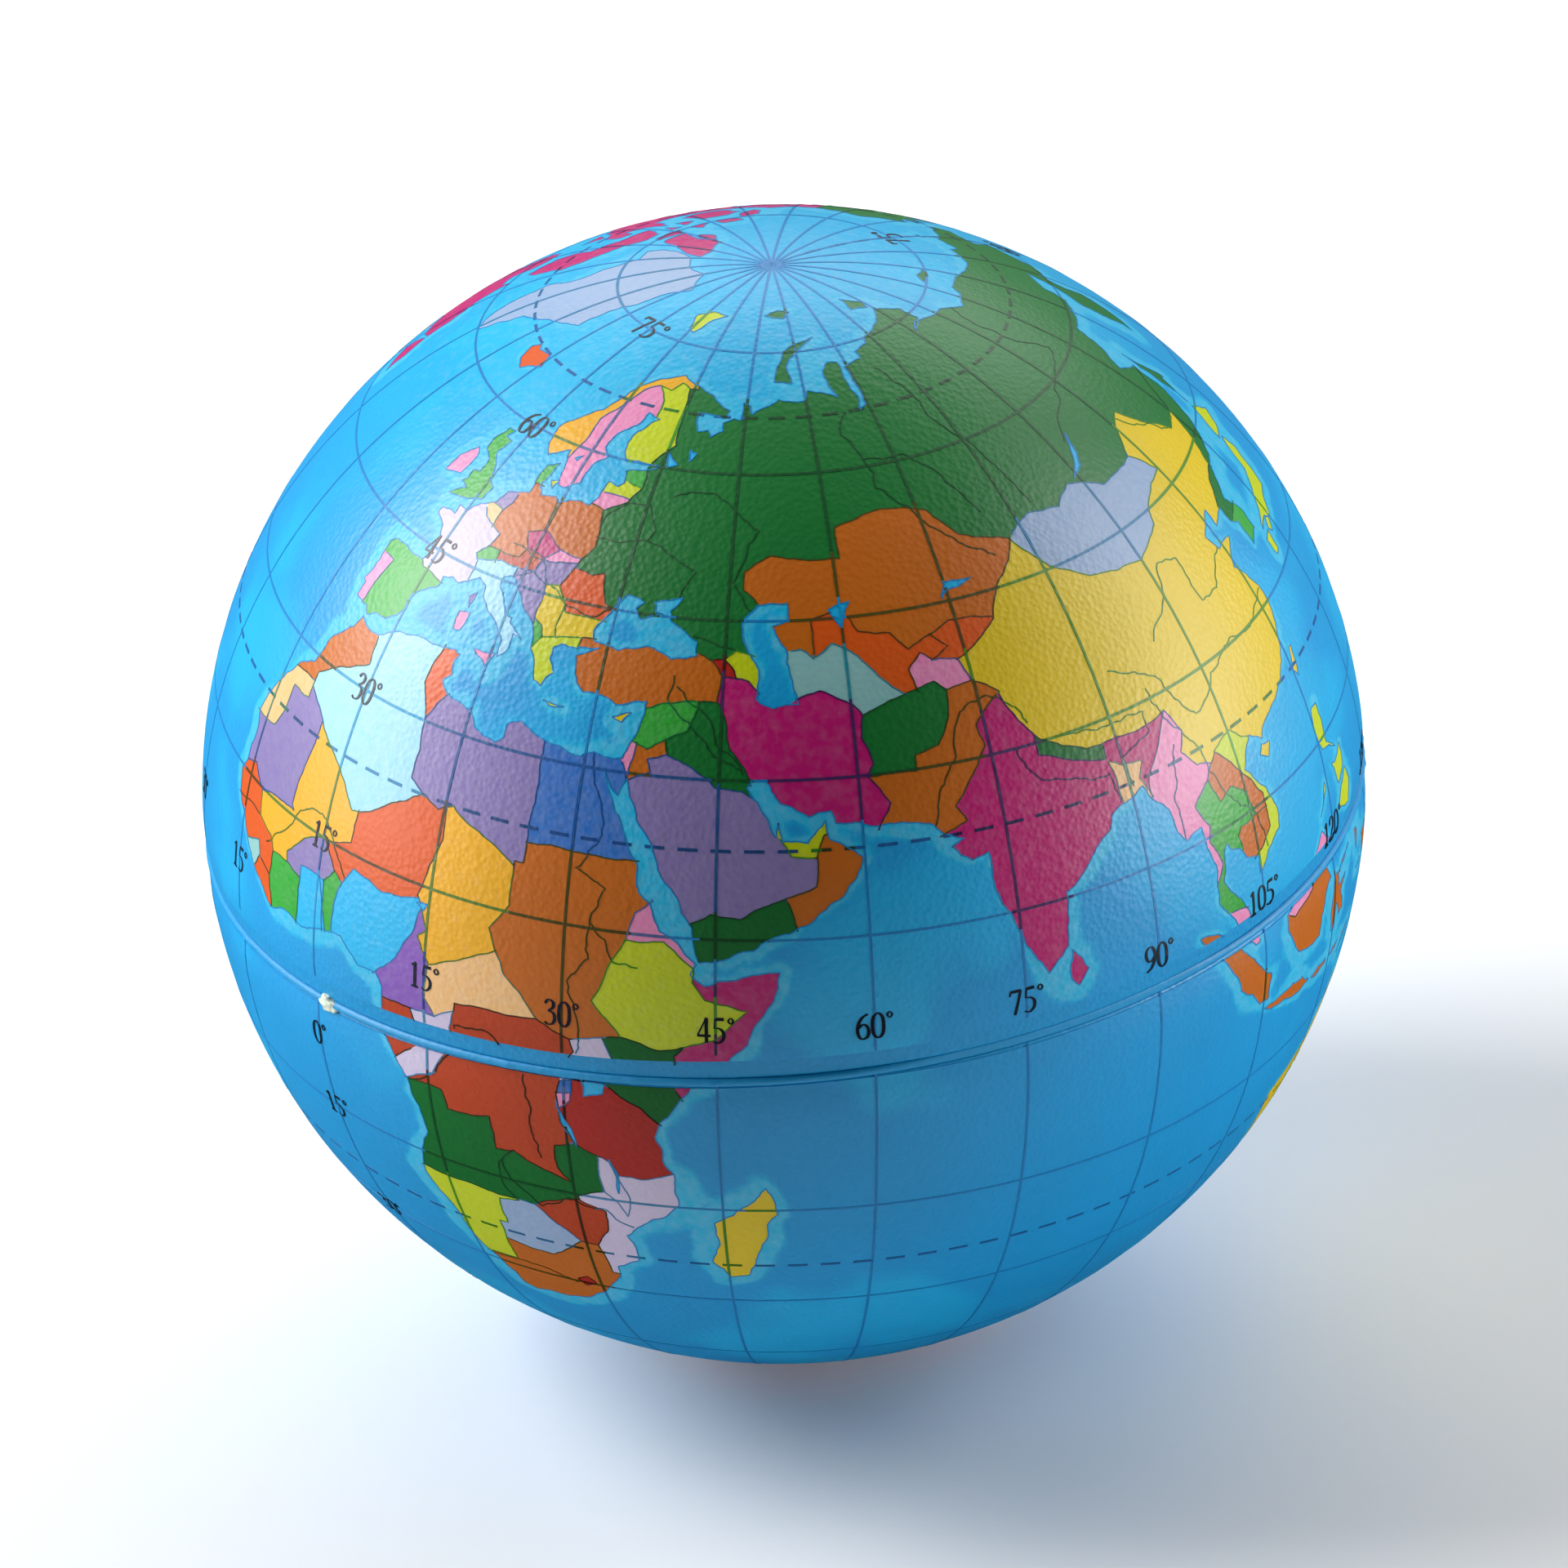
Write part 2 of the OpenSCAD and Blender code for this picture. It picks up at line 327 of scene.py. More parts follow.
# Islands that a border divides, and the great southern one.
SHARED_ISLANDS = (
    "109.2 1.8, 111.3 2.6, 113 3.2, 115 5, 117 7, 119.2 5.2, 117.8 3, 119 1, 117.5 0.2,"
    "116.3 -2, 116 -4, 114.5 -4.1, 111.5 -3.4, 110 -1.5, 109 0.3",
    "131 -0.8, 134 -0.8, 135 -3.3, 138 -1.7, 141 -2.6, 144.5 -3.8, 147.8 -6, 147 -6.8,"
    "150.8 -10.5, 147.5 -10, 144.5 -7.7, 141 -9.1, 138 -8.3, 138 -5.5, 133 -4, 132 -2.8",
    "113.5 -22, 114.2 -26, 115.7 -32, 115 -34.3, 118 -35, 123.5 -34, 126 -32.3, 131 -31.5,"
    "134 -33, 135.7 -34.9, 137.8 -32.6, 138 -35.6, 140 -37.5, 143.5 -38.8, 146.4 -39.1,"
    "150 -37.5, 151 -34, 153.5 -29, 153 -25, 149.3 -21, 146 -19, 145.3 -15, 142.5 -10.8,"
    "141.5 -14, 140.8 -17.5, 135.5 -15, 137 -12.2, 132.6 -11.3, 130 -13, 129.5 -15, 126 -14,"
    "122.2 -17.5, 121 -19.5, 117 -20.8",
)
# The two inland seas that are drawn as open water.
INLAND_SEAS = (
    "28.1 41.7, 31.3 41.2, 35 42, 38.3 41, 41.5 41.5, 41.4 42.8, 37.5 44.7, 37.3 45.6, 38.8 47,"
    "35 46.3, 35.3 45.3, 36.4 45.2, 33.6 44.4, 32.6 45.4, 33.6 46.1, 31 46.6, 29.7 45.2,"
    "28.6 43.8, 27.7 42.6",
    "47 44.8, 49 46.5, 53 46.7, 53 45, 51 44.5, 52.8 42, 53 40, 53.9 37, 51 36.7, 49 37.6,"
    "49.3 40.3, 47.7 42.5",
)
LAKES = (
    "58.4 45.8, 61.5 46.5, 60 44",
    "74 45.3, 75 46.8, 79 46.7, 75 46",
    "104 51.6, 107 52.3, 109.8 55.7, 107 53.3",
    "31 60, 33 60.5, 30.5 61.7",
    "35 61, 36 62, 34.5 62.3",
    "12.6 58.7, 14 59.2, 13.3 58.5",
    "31.8 -0.6, 34 0.2, 33.9 -2, 32 -2.6",
    "29.2 -3.5, 31 -8.7, 29.6 -6",
    "34.1 -9.6, 34.9 -11.5, 34.7 -14",
    "13.5 13.2, 14.8 13.4, 14.4 12.6",
    "-92 46.7, -88.5 48.8, -84.8 46.7, -88 46.9",
    "-87.7 41.8, -86.2 43, -85 45.8, -87.8 44",
    "-84.3 46, -80.2 45.2, -82.3 43.1, -83.3 44.9",
    "-83.3 41.7, -79 42.8, -81.5 41.6",
    "-79.7 43.3, -76.4 44.1, -76.6 43.5",
    "-98.8 53.7, -96.5 51, -97 53.8",
    "-124 66.5, -118 66.8, -121 65.3",
    "-116.5 61.2, -110 62.8, -113 61",
)
# Country borders. Each runs a little past the coast or the border that it ends on.
BORDERS = (
    # Western Europe
    "-9.2 42, -6.4 41.8, -7 40, -7.3 38, -7.4 36.7",
    "-2.2 43.7, -1 42.9, 3.6 42.4",
    "2.3 51.6, 4 50, 6 49.5, 8.1 49, 7.6 47.6, 6.1 46.4, 7 45.8, 7.3 43.2",
    "7 54, 7 52.3, 6 51, 6.1 49.2",
    "3 51.6, 6.3 51.2",
    "8 54.9, 10.5 54.9",
    "14.2 54.7, 14.6 52.5, 15 50.9, 12.3 50.2, 13.7 48.7, 13 47.6, 9.6 47.5, 7.3 47.5",
    "6.6 45.9, 8.5 46.2, 10.5 46.7, 13.6 46.6, 13.6 45.2",
    "9.6 47.7, 9.8 46.2",
    # Central Europe and the Balkans
    "14.8 51, 18.8 49.5, 22.6 49.1",
    "17 48.2, 18.8 49.5",
    "19.6 54.8, 22.8 54.4, 23.6 52.5, 24 50.6, 22.6 49.1, 22.2 48.2, 25 47.8, 26.8 48.3,"
    "28.2 45.4, 30 45",
    "13.4 46.6, 16.3 46.8, 17 48.2, 13.5 48.7",
    "16.2 46.8, 18.8 45.9, 21 46.2, 22.3 48.3",
    "16.9 48.1, 20.5 48.4, 22.4 48.6",
    "20.9 46.1, 22.7 44.5, 23 43.8, 26 43.8, 29 43.7",
    "22.7 44.6, 22.4 42.3, 22.9 41.2",
    "19.8 39.4, 21 41, 23 41.3, 26.3 41.7, 26.1 40.2",
    "26.3 41.4, 26.4 41.8, 28.4 41.9",
    "13.2 45.5, 16.5 46.9",
    "18.8 46.1, 19.2 44.5, 19.2 41.8",
    "19.1 42.6, 20.5 42, 21.1 40.9",
    # The north and the east of Europe
    "23.5 52.6, 23.7 53.9, 26.5 55.6, 30.5 55.8, 32.5 53.3, 31.5 52.1",
    "23.5 51.6, 27 51.5, 31.5 52.2, 34 51.8, 37.5 50.4, 40 49.6, 38.2 46.9",
    "22.7 54.3, 26.5 55.7",
    "26.3 55.5, 28 57.5, 27.5 59.7",
    "20.8 56.2, 26.6 56",
    "24.1 57.9, 27.9 57.4",
    "27.8 60.2, 31.3 62.6, 29.8 67.7, 28.8 69.4, 31.2 69.5, 30.8 70.2",
    "24.3 65.3, 23.7 67.5, 20.6 69.1, 24 68.8, 26 70, 29 69.4",
    "11.3 58.5, 12.3 61, 12 63.5, 14 65, 15.5 66.5, 18 68.5, 20.6 69.1",
    # Turkey, the Caucasus and the Middle East
    "41.3 41.8, 43.5 41.1, 44.8 39.7, 44.4 37.2",
    "35.6 36, 38 36.8, 42.3 37.2, 44.5 37.2, 45.5 35.5, 46 33, 47.8 31, 48.4 29.5",
    "39.6 43.5, 44 42.6, 48.8 41.6",
    "43.4 41.2, 45 41.3, 46.6 42.3",
    "44.7 39.7, 48 39.3, 49.3 38.1",
    "45 41.3, 46.3 40.2, 46.6 39.4",
    "42.3 37.3, 41.2 34.4, 38.8 33.4, 36.8 32.4, 35 33",
    "35.6 33, 35.4 31.4, 34.9 29.2",
    "34 31.5, 34.9 29.4",
    "34.9 29.2, 37.5 30.3, 37 31.5, 39.2 32.1, 38.8 33.5",
    "39.2 32, 42 31, 44.7 29.2, 47.5 29, 48.6 28.4",
    "42.5 16.4, 44.5 17.4, 47.5 17, 52 19, 55 20, 55.2 22.7, 52.6 22.9, 51.4 24.6",
    "51.9 19, 53 15.8",
    "55.1 22.6, 56 24.8, 56.8 25",
    # Central Asia
    "53.6 37.4, 56.5 38.2, 60.3 36.6, 61.2 35.6, 60.8 33.5, 61.8 31, 60.9 29.9, 63.2 27.2,"
    "61.6 24.8",
    "61.2 35.6, 64.7 36.7, 67 37.2, 70.2 37.8, 71.5 36.8, 74.8 37.2, 77.8 35.5",
    "60.8 29.9, 66.3 29.8, 66.5 31.3, 69.3 31.9, 71 34.2, 71.5 36.9",
    "52 42, 54.5 42.2, 56 41.3, 58.5 42.6, 61.5 41.2, 66.6 37",
    "56 41.2, 56 45, 58.8 45.6",
    "61 45, 62 43.5, 66 43, 68 41.2, 71 42.2, 74 43.2, 80 42.5",
    "71 42.3, 73 40.8, 70.5 39.8, 73.7 39.5, 74.8 37.1",
    "70.6 39.9, 69.3 40.7, 67.5 39.3, 68.2 37",
    "49.7 46.2, 47 48, 47 49.8, 51 51.5, 55 51, 61 50.8, 61 54, 69 55.3, 76.5 54.2, 80 51,"
    "87.3 49.1, 92 50.7, 98 50, 102 51.5, 108 49.5, 116.7 49.9, 120 52.5, 123.5 53.5, 127.5 50,"
    "131 47.7, 135 48.4, 133 45, 131 43, 130.9 42.1",
    "87.3 49.2, 85.5 47.2, 82.3 45.3, 80 42.3, 76.5 40.4, 73.6 39.4",
    "87.2 49.1, 91 45.2, 96 42.8, 105 41.6, 111 43.6, 112 45, 116 46.5, 119.8 47, 116.6 50",
    # South and East Asia
    "124.4 39.5, 128 42, 131 42.6",
    "125.8 37.8, 128.9 38.7",
    "77.8 35.6, 74 33, 74.5 31, 71.8 27.9, 70 26, 71 24.5, 67.9 23.4",
    "77.6 35.5, 79 32.5, 81 30.2, 86 28, 88 27.9, 92 27.8, 97.3 28.3",
    "80.4 30.8, 80.3 28.8, 84 27.4, 88.1 26.4, 88.2 28",
    "88.9 21.3, 88.6 24, 88.2 26.2, 89.8 25.3, 92.3 25, 91.4 23.5, 92.5 21.3",
    "92.3 21, 92.5 23, 93.3 24, 94.6 25.2, 97.3 28.4",
    "97.2 28.4, 98.7 25.8, 97.6 24, 99.2 22.1, 101.2 21.5, 102.2 22.4, 105.3 23.3, 106.7 22,"
    "108.3 21.4",
    "101.2 21.6, 100.1 20.3, 97.4 18.5, 98.8 16, 98.3 14.5, 99.5 11.8, 98.2 9.9",
    "102.1 22.3, 104.5 19.7, 107.5 15.8, 107.5 12.3, 105.9 11, 104.2 10.3",
    "100 20.4, 101 17.6, 103 18.4, 104.7 17.3, 105.6 14.4, 103 14.2, 102.4 13.5, 102.8 11.3",
    "105.5 14.4, 107.7 14.4",
    "99.5 6.5, 102.5 6",
    "109.2 1.9, 110.5 1, 112.5 1.5, 114.5 2, 115.8 4.2, 118.2 4.1",
    "141 -2.2, 141 -9.4",
    # North Africa
    "-1.9 35.4, -1.2 32.3, -4 31, -8.7 28.7, -8.7 27.6",
    "-8.7 27.7, -13.6 27.7",
    "-8.7 27.8, -8.7 26, -12 26, -12 23.4, -13 21.3, -17.5 21",
    "-8.8 27.3, -4.8 25, 1.2 21.1, 3.2 19, 4.3 19.2, 7.5 20.9, 12 23.5, 14.2 22.6, 16 23.4,"
    "24 19.5, 24 20, 25 20, 25 32",
    "-4.9 25.1, -6 16, -5.5 15.5, -9.5 15.4, -12 14.8, -14.5 16.6, -16.9 15.9",
    "12.1 23.4, 10 24.5, 9.5 30.2, 7.7 33.3, 8.5 37.4",
    "9.4 30.1, 11.9 33.7",
    "24.9 22, 31 22, 37.6 22",
    "15.2 23.3, 15.5 20, 13.5 14, 14 13.2",
    # West and Central Africa
    "24 19.7, 24 15.7, 22 13, 22.8 11, 24 8.7, 27.4 5",
    "23 11, 19 9, 15.5 7.5, 14 10, 15 10.8, 14.1 12.8",
    "14.1 12.8, 13.5 10.5, 11.5 7, 8.5 4.2",
    "3.5 11.6, 5 13.7, 9 12.8, 13.8 13.7",
    "2.7 5.9, 2.7 9, 3.6 11.7, 2.3 12.5, 0.2 15, 1 15, 4 16, 4.2 19.4",
    "0.3 15, -3 13.7, -5.5 11.3, -5.3 10.3, -2.8 9.6, -2.8 11, 0 11.1, 1 11, 2.4 12.6",
    "-2.8 9.7, -3 4.7",
    "0.2 11.2, 1.2 5.7",
    "0.9 11.1, 1.7 5.8",
    "-5.2 10.3, -8 10.2, -8.3 7.5, -7.5 4",
    "-7.9 10.1, -8.8 11.5, -11.4 12.4, -12 14.9",
    "-11.3 12.4, -13.7 12.7, -17 12.4",
    "-13.8 9.1, -11 10, -10.5 8.5, -8.2 7.5",
    "-11.8 6.7, -10.5 8.6",
    "9.4 2.2, 13.3 2.2, 16.2 2.2, 15 4, 15.5 7.6",
    "13.3 2.3, 14.4 -1.5, 10.9 -4.2",
    "16.2 2.2, 18.5 3.5, 18.6 4.4, 23 4.7, 27.4 5, 30.8 3.5, 34 4.2, 36 4.5, 39.5 3.5, 42 4.1,"
    "41 3, 41 -0.9, 42 -2.2",
    "18.5 3.6, 17.7 -0.5, 15.5 -4.5, 11.9 -6",
    # East Africa
    "35.9 4.4, 33 7.9, 34.3 10.6, 36.2 14.3, 36.4 15, 37 17, 38.8 18.4",
    "36.1 14.3, 40 14.5, 42.9 12.1",
    "42.9 12.1, 42.8 10.7, 44 9, 48 8, 45 5, 41.9 4",
    "34 4.3, 35 2, 34 0.3, 34 -1, 37.6 -3, 39.6 -4.8",
    "30.8 3.6, 31.2 2.2, 29.8 0, 29.6 -1.4, 29.2 -2.8, 29.4 -4.4, 29.5 -6, 30.8 -8.3",
    "29.5 -1.4, 31 -1, 34.1 -1",
    "30.8 -0.9, 30.6 -3.3, 29.2 -4.5",
    "29.1 -2.7, 30.7 -2.4",
    # Southern Africa
    "30.7 -8.3, 33 -9.4, 34.2 -10, 34.7 -11.6, 37.5 -11.7, 40.9 -10.4",
    "34.7 -11.5, 35.8 -14.5, 35.3 -17.1, 34.3 -15, 33.2 -14, 32.9 -12, 33 -9.3",
    "33.3 -14, 30.3 -15.2, 30.4 -15.8, 33 -16.8, 32.8 -19.8, 31.3 -22.3, 32 -26.8, 33.3 -26.9",
    "30.8 -8.2, 28.6 -9, 28.6 -11.8, 29.8 -13.4, 25.4 -11.8, 24 -10.9, 22 -11.2, 21.8 -7.3,"
    "17 -8, 16.5 -5.9, 11.9 -6",
    "24.1 -10.8, 22 -13, 22 -16.2, 23.3 -17.7, 18.4 -17.4, 14 -17.4, 11.3 -17.2",
    "23.2 -17.7, 25.2 -17.8, 28.8 -16, 30.5 -15.7",
    "23.4 -17.8, 21 -18.3, 21 -22, 20 -22, 20 -28.4, 17.4 -28.5, 15.9 -28.7",
    "19.9 -24.8, 22.7 -25.5, 25.5 -25.6, 29.4 -22.2, 31.4 -22.3",
    "25.1 -17.8, 29.5 -22.2",
    "27.2 -29.5, 28.6 -28.6, 29.4 -29.7, 28 -30.6, 27.2 -29.5",
    # North and Central America
    "-123.4 49, -115 49, -105 49, -95.2 49, -89.5 48, -84.5 46.5, -82.5 45.3, -82.5 42.8,"
    "-79 42.8, -76.4 44.1, -74.8 45, -71 45.3, -69.2 47.4, -67.8 47, -67 44.5",
    "-141 70, -141 60.3, -135 59.6, -130 56, -130.8 54",
    "-117.4 32.5, -114.8 32.6, -111 31.3, -106.5 31.8, -103 29, -101.4 29.8, -99.5 27.5,"
    "-96.8 25.9",
    "-92.5 14, -91 16, -89.2 17.8, -87.8 18.4",
    "-88.2 16.2, -89.4 14.4, -90.2 13.2",
    "-82.8 15, -87.9 12.7",
    "-83.4 10.8, -86 11.1",
    "-82.3 9.9, -83 7.8",
    # South America
    "-77.2 9, -78.1 6.9",
    "-71.2 12.3, -72.5 9, -70 7, -67.5 6, -67 1.2, -69.8 1, -70 -4.2, -73.8 -7.5, -70.5 -9.5,"
    "-69 -11, -69 -17.5, -70.9 -18.4",
    "-79.2 1.5, -75.3 -0.1, -70 -4.2",
    "-80.8 -3.4, -79 -5, -75.2 0",
    "-67.1 1.2, -64 2, -60.7 5.2, -59.6 9",
    "-60.7 5.1, -59.8 2, -54.5 2.3, -51.2 4.5",
    "-57.2 6.5, -57 2",
    "-54 6.3, -54.5 2.2",
    "-69.1 -11, -65.3 -10, -60 -13.7, -58 -16.3, -57.8 -19.8, -58.2 -20, -62.3 -20.6,"
    "-62.7 -22.2, -67.5 -22.8",
    "-69.1 -17.4, -68 -20, -67.5 -22.8, -69.5 -28, -70.3 -33, -71.5 -40, -71.8 -46, -73 -50,"
    "-71 -52, -68.5 -52.4, -68.6 -55.7",
    "-62.6 -22.1, -58.5 -27.2, -55.8 -27.4, -54.5 -25.6, -54.3 -24, -57.8 -22.2, -58.1 -19.9",
    "-58.1 -34.7, -57.8 -30.2, -53 -34",
    "-54.5 -25.5, -53.8 -27.2, -57.9 -30.3",
    "-71.9 20.2, -71.7 17.5",
)
RIVERS = (
    "31 31.4, 31.3 29.5, 32.7 26, 33 24, 30.6 20.5, 33.9 19, 32.5 15.6, 32.6 12, 30.5 9.5, 31.7 5,"
    "31.4 2",
    "32.5 15.6, 35 12, 37.5 11.7",
    "12.5 -6, 16 -4, 18 -1, 18.5 2, 22.5 2.2, 25.3 0, 26.5 -5, 27 -11",
    "6.2 4.5, 6.7 8, 4.5 11, 3 13.5, 0 16.8, -3.5 16.5, -6 13.5, -9.5 10.5",
    "36.2 -18.8, 33 -16.5, 29 -15.8, 26 -17.8, 23 -15, 22.5 -12.5",
    "16.5 -28.7, 20 -28.6, 24 -29, 27 -30.3",
    "47.5 30.5, 44.5 33.3, 42.5 36.5, 39.5 38.5",
    "47.2 31, 42 34.4, 38.5 37.2, 39 39.5",
    "67.5 24, 68.5 27.5, 71 30.5, 72.5 34.5, 76 35.5, 80 32",
    "88.5 22, 88 25, 84 25.7, 80 26.5, 78 30",
    "90.5 23, 90 26, 94.5 27.3, 94.5 29.2, 88 29.3, 83 30",
    "95.3 16, 95 20, 97 25",
    "106.5 10, 105.8 14.5, 102 18, 100.5 21, 98.5 26, 96 31",
    "121.5 31.6, 116 29.8, 111.5 30.5, 106 29, 101.5 26.5, 98.5 31, 92 34",
    "118.8 37.6, 114 35, 110.5 35, 110.5 39.8, 107 40.5, 104 37, 100 34.5",
    "141 53, 137 50, 134.7 48.3, 130.8 47.7, 127.5 50, 121.5 53.3",
    "127 72.5, 123.5 69, 126 64.5, 129.5 62, 121 60, 115 58, 108 55",
    "82.5 71, 86.5 67, 89 61, 92.5 56, 94 51.5",
    "69 66.5, 66 64, 69 60.8, 77 60.5, 82 56.5, 85 52.5",
    "69 60.8, 69.5 57.5, 74 55, 77 52, 84 48",
    "48 46, 45.5 48.7, 47 51, 49 54, 45 56, 40 57.8, 34 57",
    "29.5 45.2, 27.5 44, 22.7 44.5, 19 46, 17 48, 11 48.7",
    "-50 0, -55 -2.3, -60 -3.2, -65 -3.3, -70 -4, -74 -5, -76 -10",
    "-58.5 -34, -60.5 -31.5, -58.7 -27.3, -54.5 -25.5, -51.5 -20.5, -48 -17",
    "-61 9, -64 8, -67.5 6, -66 3",
    "-89.3 29.3, -91.3 31.5, -90 35, -89.5 38, -91 41, -93 45",
    "-90.2 38.8, -95 40, -98.5 43, -104 47.8, -111 47",
    "-134.5 69, -130 66.5, -125 64.8, -121 61.5, -116 61",
    "-164 63, -158 63, -152 65, -142 66, -137 62",
)
# Where each ink fills the land that its borders enclose.
FILLS: dict[Ink, str] = {
    Ink.SEA: "0 0, -30 30, 60 0, 160 0, -150 0, 0 80, 20 35, -90 25, 20 58, 50 27, 38 20, -85 60,"
    "135 40, 112 10, 80 -60",
    Ink.LAKE: "8 9.5, -1.2 10.5",
    Ink.GREEN: "90 60, 44 34, 65 34, 127 40, 37.5 0.5, 27 53.5, 48 15.5, -155 65, 84.5 28.1,"
    "43.5 42.1, -65 -35, 18 -12, 27 -14, 31 49.5",
    Ink.LEAF: "-4 40, 101 15, 127.5 36.5, 9 56.3, 20.6 41.2, -66 7, -5.6 7.8, 8.5 46.8, -86 15,"
    "25.3 58.7, 2.3 7.9, 38 35",
    Ink.LIME: "26 64, 40 8.5, 17 -21, 105.5 21.5, 108 13, 22 39.5, 24 56.7, -58 -23.3, -74.5 4,"
    "47.5 40.4, 54 23.6",
    Ink.YELLOW: "103 35, 25.5 42.5, 20.5 43.8, -84.3 10, -55.8 -33, 133 -25, -64 -17",
    Ink.GOLD: "18 15, -2.5 18.5, 9 61",
    Ink.PEACH: "22 7, 90 24, 4.6 50.9, -13 24",
    Ink.ORANGE: "67 48, 70 29, 30 14, 35 39, 10 51, 19 52, -6 31.8, 37 30.8, 103.5 18.8,"
    "104.5 12.5, 113 -1, 137 -4.5, -102 23, -75 -10, 57 22, 23 -29",
    Ink.VERMILION: "9 17, 64 41.3, 9.7 34.5, -10.2 10.3, 75 41.3, 25 46, -9.5 6.6, -14.5 14.5",
    Ink.BRICK: "22 -3, 12 0, 29.5 -19, 15 47.3, -77.8 -1.5",
    Ink.RED: "35 -6.3, 45 40.1, -56 4, 28 -29.6",
    Ink.ROSE: "78 22, 53 33, -105 58, 15.5 49.8, 46.5 4.5",
    Ink.PINK: "39.2 15.3, -7.9 39.5, 96.5 21, 102 4.2, 113.5 2.5, 15 62, 30.3 -2.9, -50 -10,"
    "0.9 8.3, 19.3 48.8, 24 55.3, 34.9 30.6, 71 38.3",
    Ink.MAUVE: "44 25, 17 27, -10 20, -1.7 12.3, 18 44.4, 146 -7, -71 -30, 6 52.3, -90.5 15.2,"
    "19.5 47",
    Ink.VIOLET: "12.5 5.5, -53 3.9",
    Ink.INDIGO: "-100 40",
    Ink.SLATE: "29.5 27, 30.2 -2.2, -80.5 8.3",
    Ink.STEEL: "106 46, 24 -22.5, -58 4.5",
    Ink.MIST: "3 28, 12.8 42.8",
    Ink.PALE: "15.5 0.5, 34 -13.3, 36 -16, 3 46.8, 33.5 -24, 33 1.5",
    Ink.SAGE: "59.5 39.5, -85.5 12.8, -11.5 8.6",
}


# Strokes of the numbers, on a body one unit high: the weight of each stroke and its points.
DIGITS = {
    "0": ((1, ".25 .98, .09 .83, .05 .5, .09 .17, .25 .02, .41 .17, .45 .5, .41 .83, .25 .98"),),
    "1": ((1, ".27 .97, .27 .02"), (1, ".29 .97, .12 .84"), (1.6, ".12 .02, .42 .02")),
    "2": (
        (1, ".06 .72, .1 .89, .24 .98, .39 .88, .4 .7, .3 .46, .05 .05"),
        (2.4, ".05 .05, .44 .05"),
        (0.5, ".44 .04, .48 .2"),
    ),
    "3": (
        (1, ".06 .82, .19 .98, .36 .9, .36 .7, .18 .54"),
        (1, ".18 .54, .38 .47, .43 .26, .35 .07, .18 .01, .04 .08"),
    ),
    "4": ((1, ".35 .98, .35 .01"), (0.5, ".35 .98, .03 .29"), (2, ".02 .28, .5 .28")),
    "5": (
        (2.6, ".13 .94, .44 .94"),
        (0.5, ".13 .95, .09 .59"),
        (1, ".09 .59, .28 .57, .42 .42, .41 .18, .24 .01, .05 .07"),
    ),
    "6": (
        (
            1,
            ".44 .98, .22 .84, .08 .58, .05 .3, .13 .07, .26 .01, .4 .1, .45 .32, .37 .53, .24 .58,"
            ".09 .46",
        ),
    ),
    "7": ((2.4, ".05 .93, .46 .93"), (0.8, ".45 .94, .2 .01"), (0.5, ".06 .94, .03 .77")),
    "8": (
        (
            1,
            ".25 .98, .1 .87, .12 .68, .27 .53, .42 .36, .43 .13, .25 .01, .07 .13, .08 .36,"
            ".25 .53, .38 .7, .4 .87, .25 .98",
        ),
    ),
    "9": (
        (
            1,
            ".06 .01, .28 .15, .42 .41, .45 .69, .37 .92, .24 .98, .1 .89, .05 .67, .13 .46,"
            ".26 .41, .41 .53",
        ),
    ),
    "°": ((0.6, ".14 .99, .05 .88, .14 .77, .23 .88, .14 .99"),),
}


def places(text: str) -> list[LonLat]:
    """Reads a written outline.

    Args:
        text: longitude and latitude pairs in degrees, with commas between them.

    Returns:
        The pairs as numbers.
    """
    return [tuple(float(word) for word in pair.split()) for pair in text.split(",") if pair.strip()]


class Stroke(Enum):
    """What a traced line on the map is."""

    COAST = "coast"
    SHORE = "shore"
    BORDER = "border"
    EDGE = "edge"


@dataclass(frozen=True)
class Globe:
    """Turns places on the map into directions from the ball's centre.

    Attributes:
        front: longitude that faces the front of the ball, in degrees.
        slip: angle by which the print is turned on the moulding, in degrees.
        slip_axis: axis of that turn.
    """

    front: float = 52.0
    slip: float = 3.57
    slip_axis: tuple[float, float, float] = (0.193, 0.855, -0.481)

    def directions(self, spots: Sequence[LonLat]) -> np.ndarray:
        """Finds where places lie on the ball.

        Args:
            spots: longitudes and latitudes in degrees.

        Returns:
            One unit vector for each place.
        """
        lon, lat = np.radians(np.array(spots, float).reshape(-1, 2)).T
        lon = lon - math.radians(self.front)
        flat = np.stack([np.cos(lat) * np.sin(lon), -np.cos(lat) * np.cos(lon), np.sin(lat)], 1)
        turn = Matrix.Rotation(math.radians(self.slip), 3, Vector(self.slip_axis))
        return flat @ np.array(turn).T


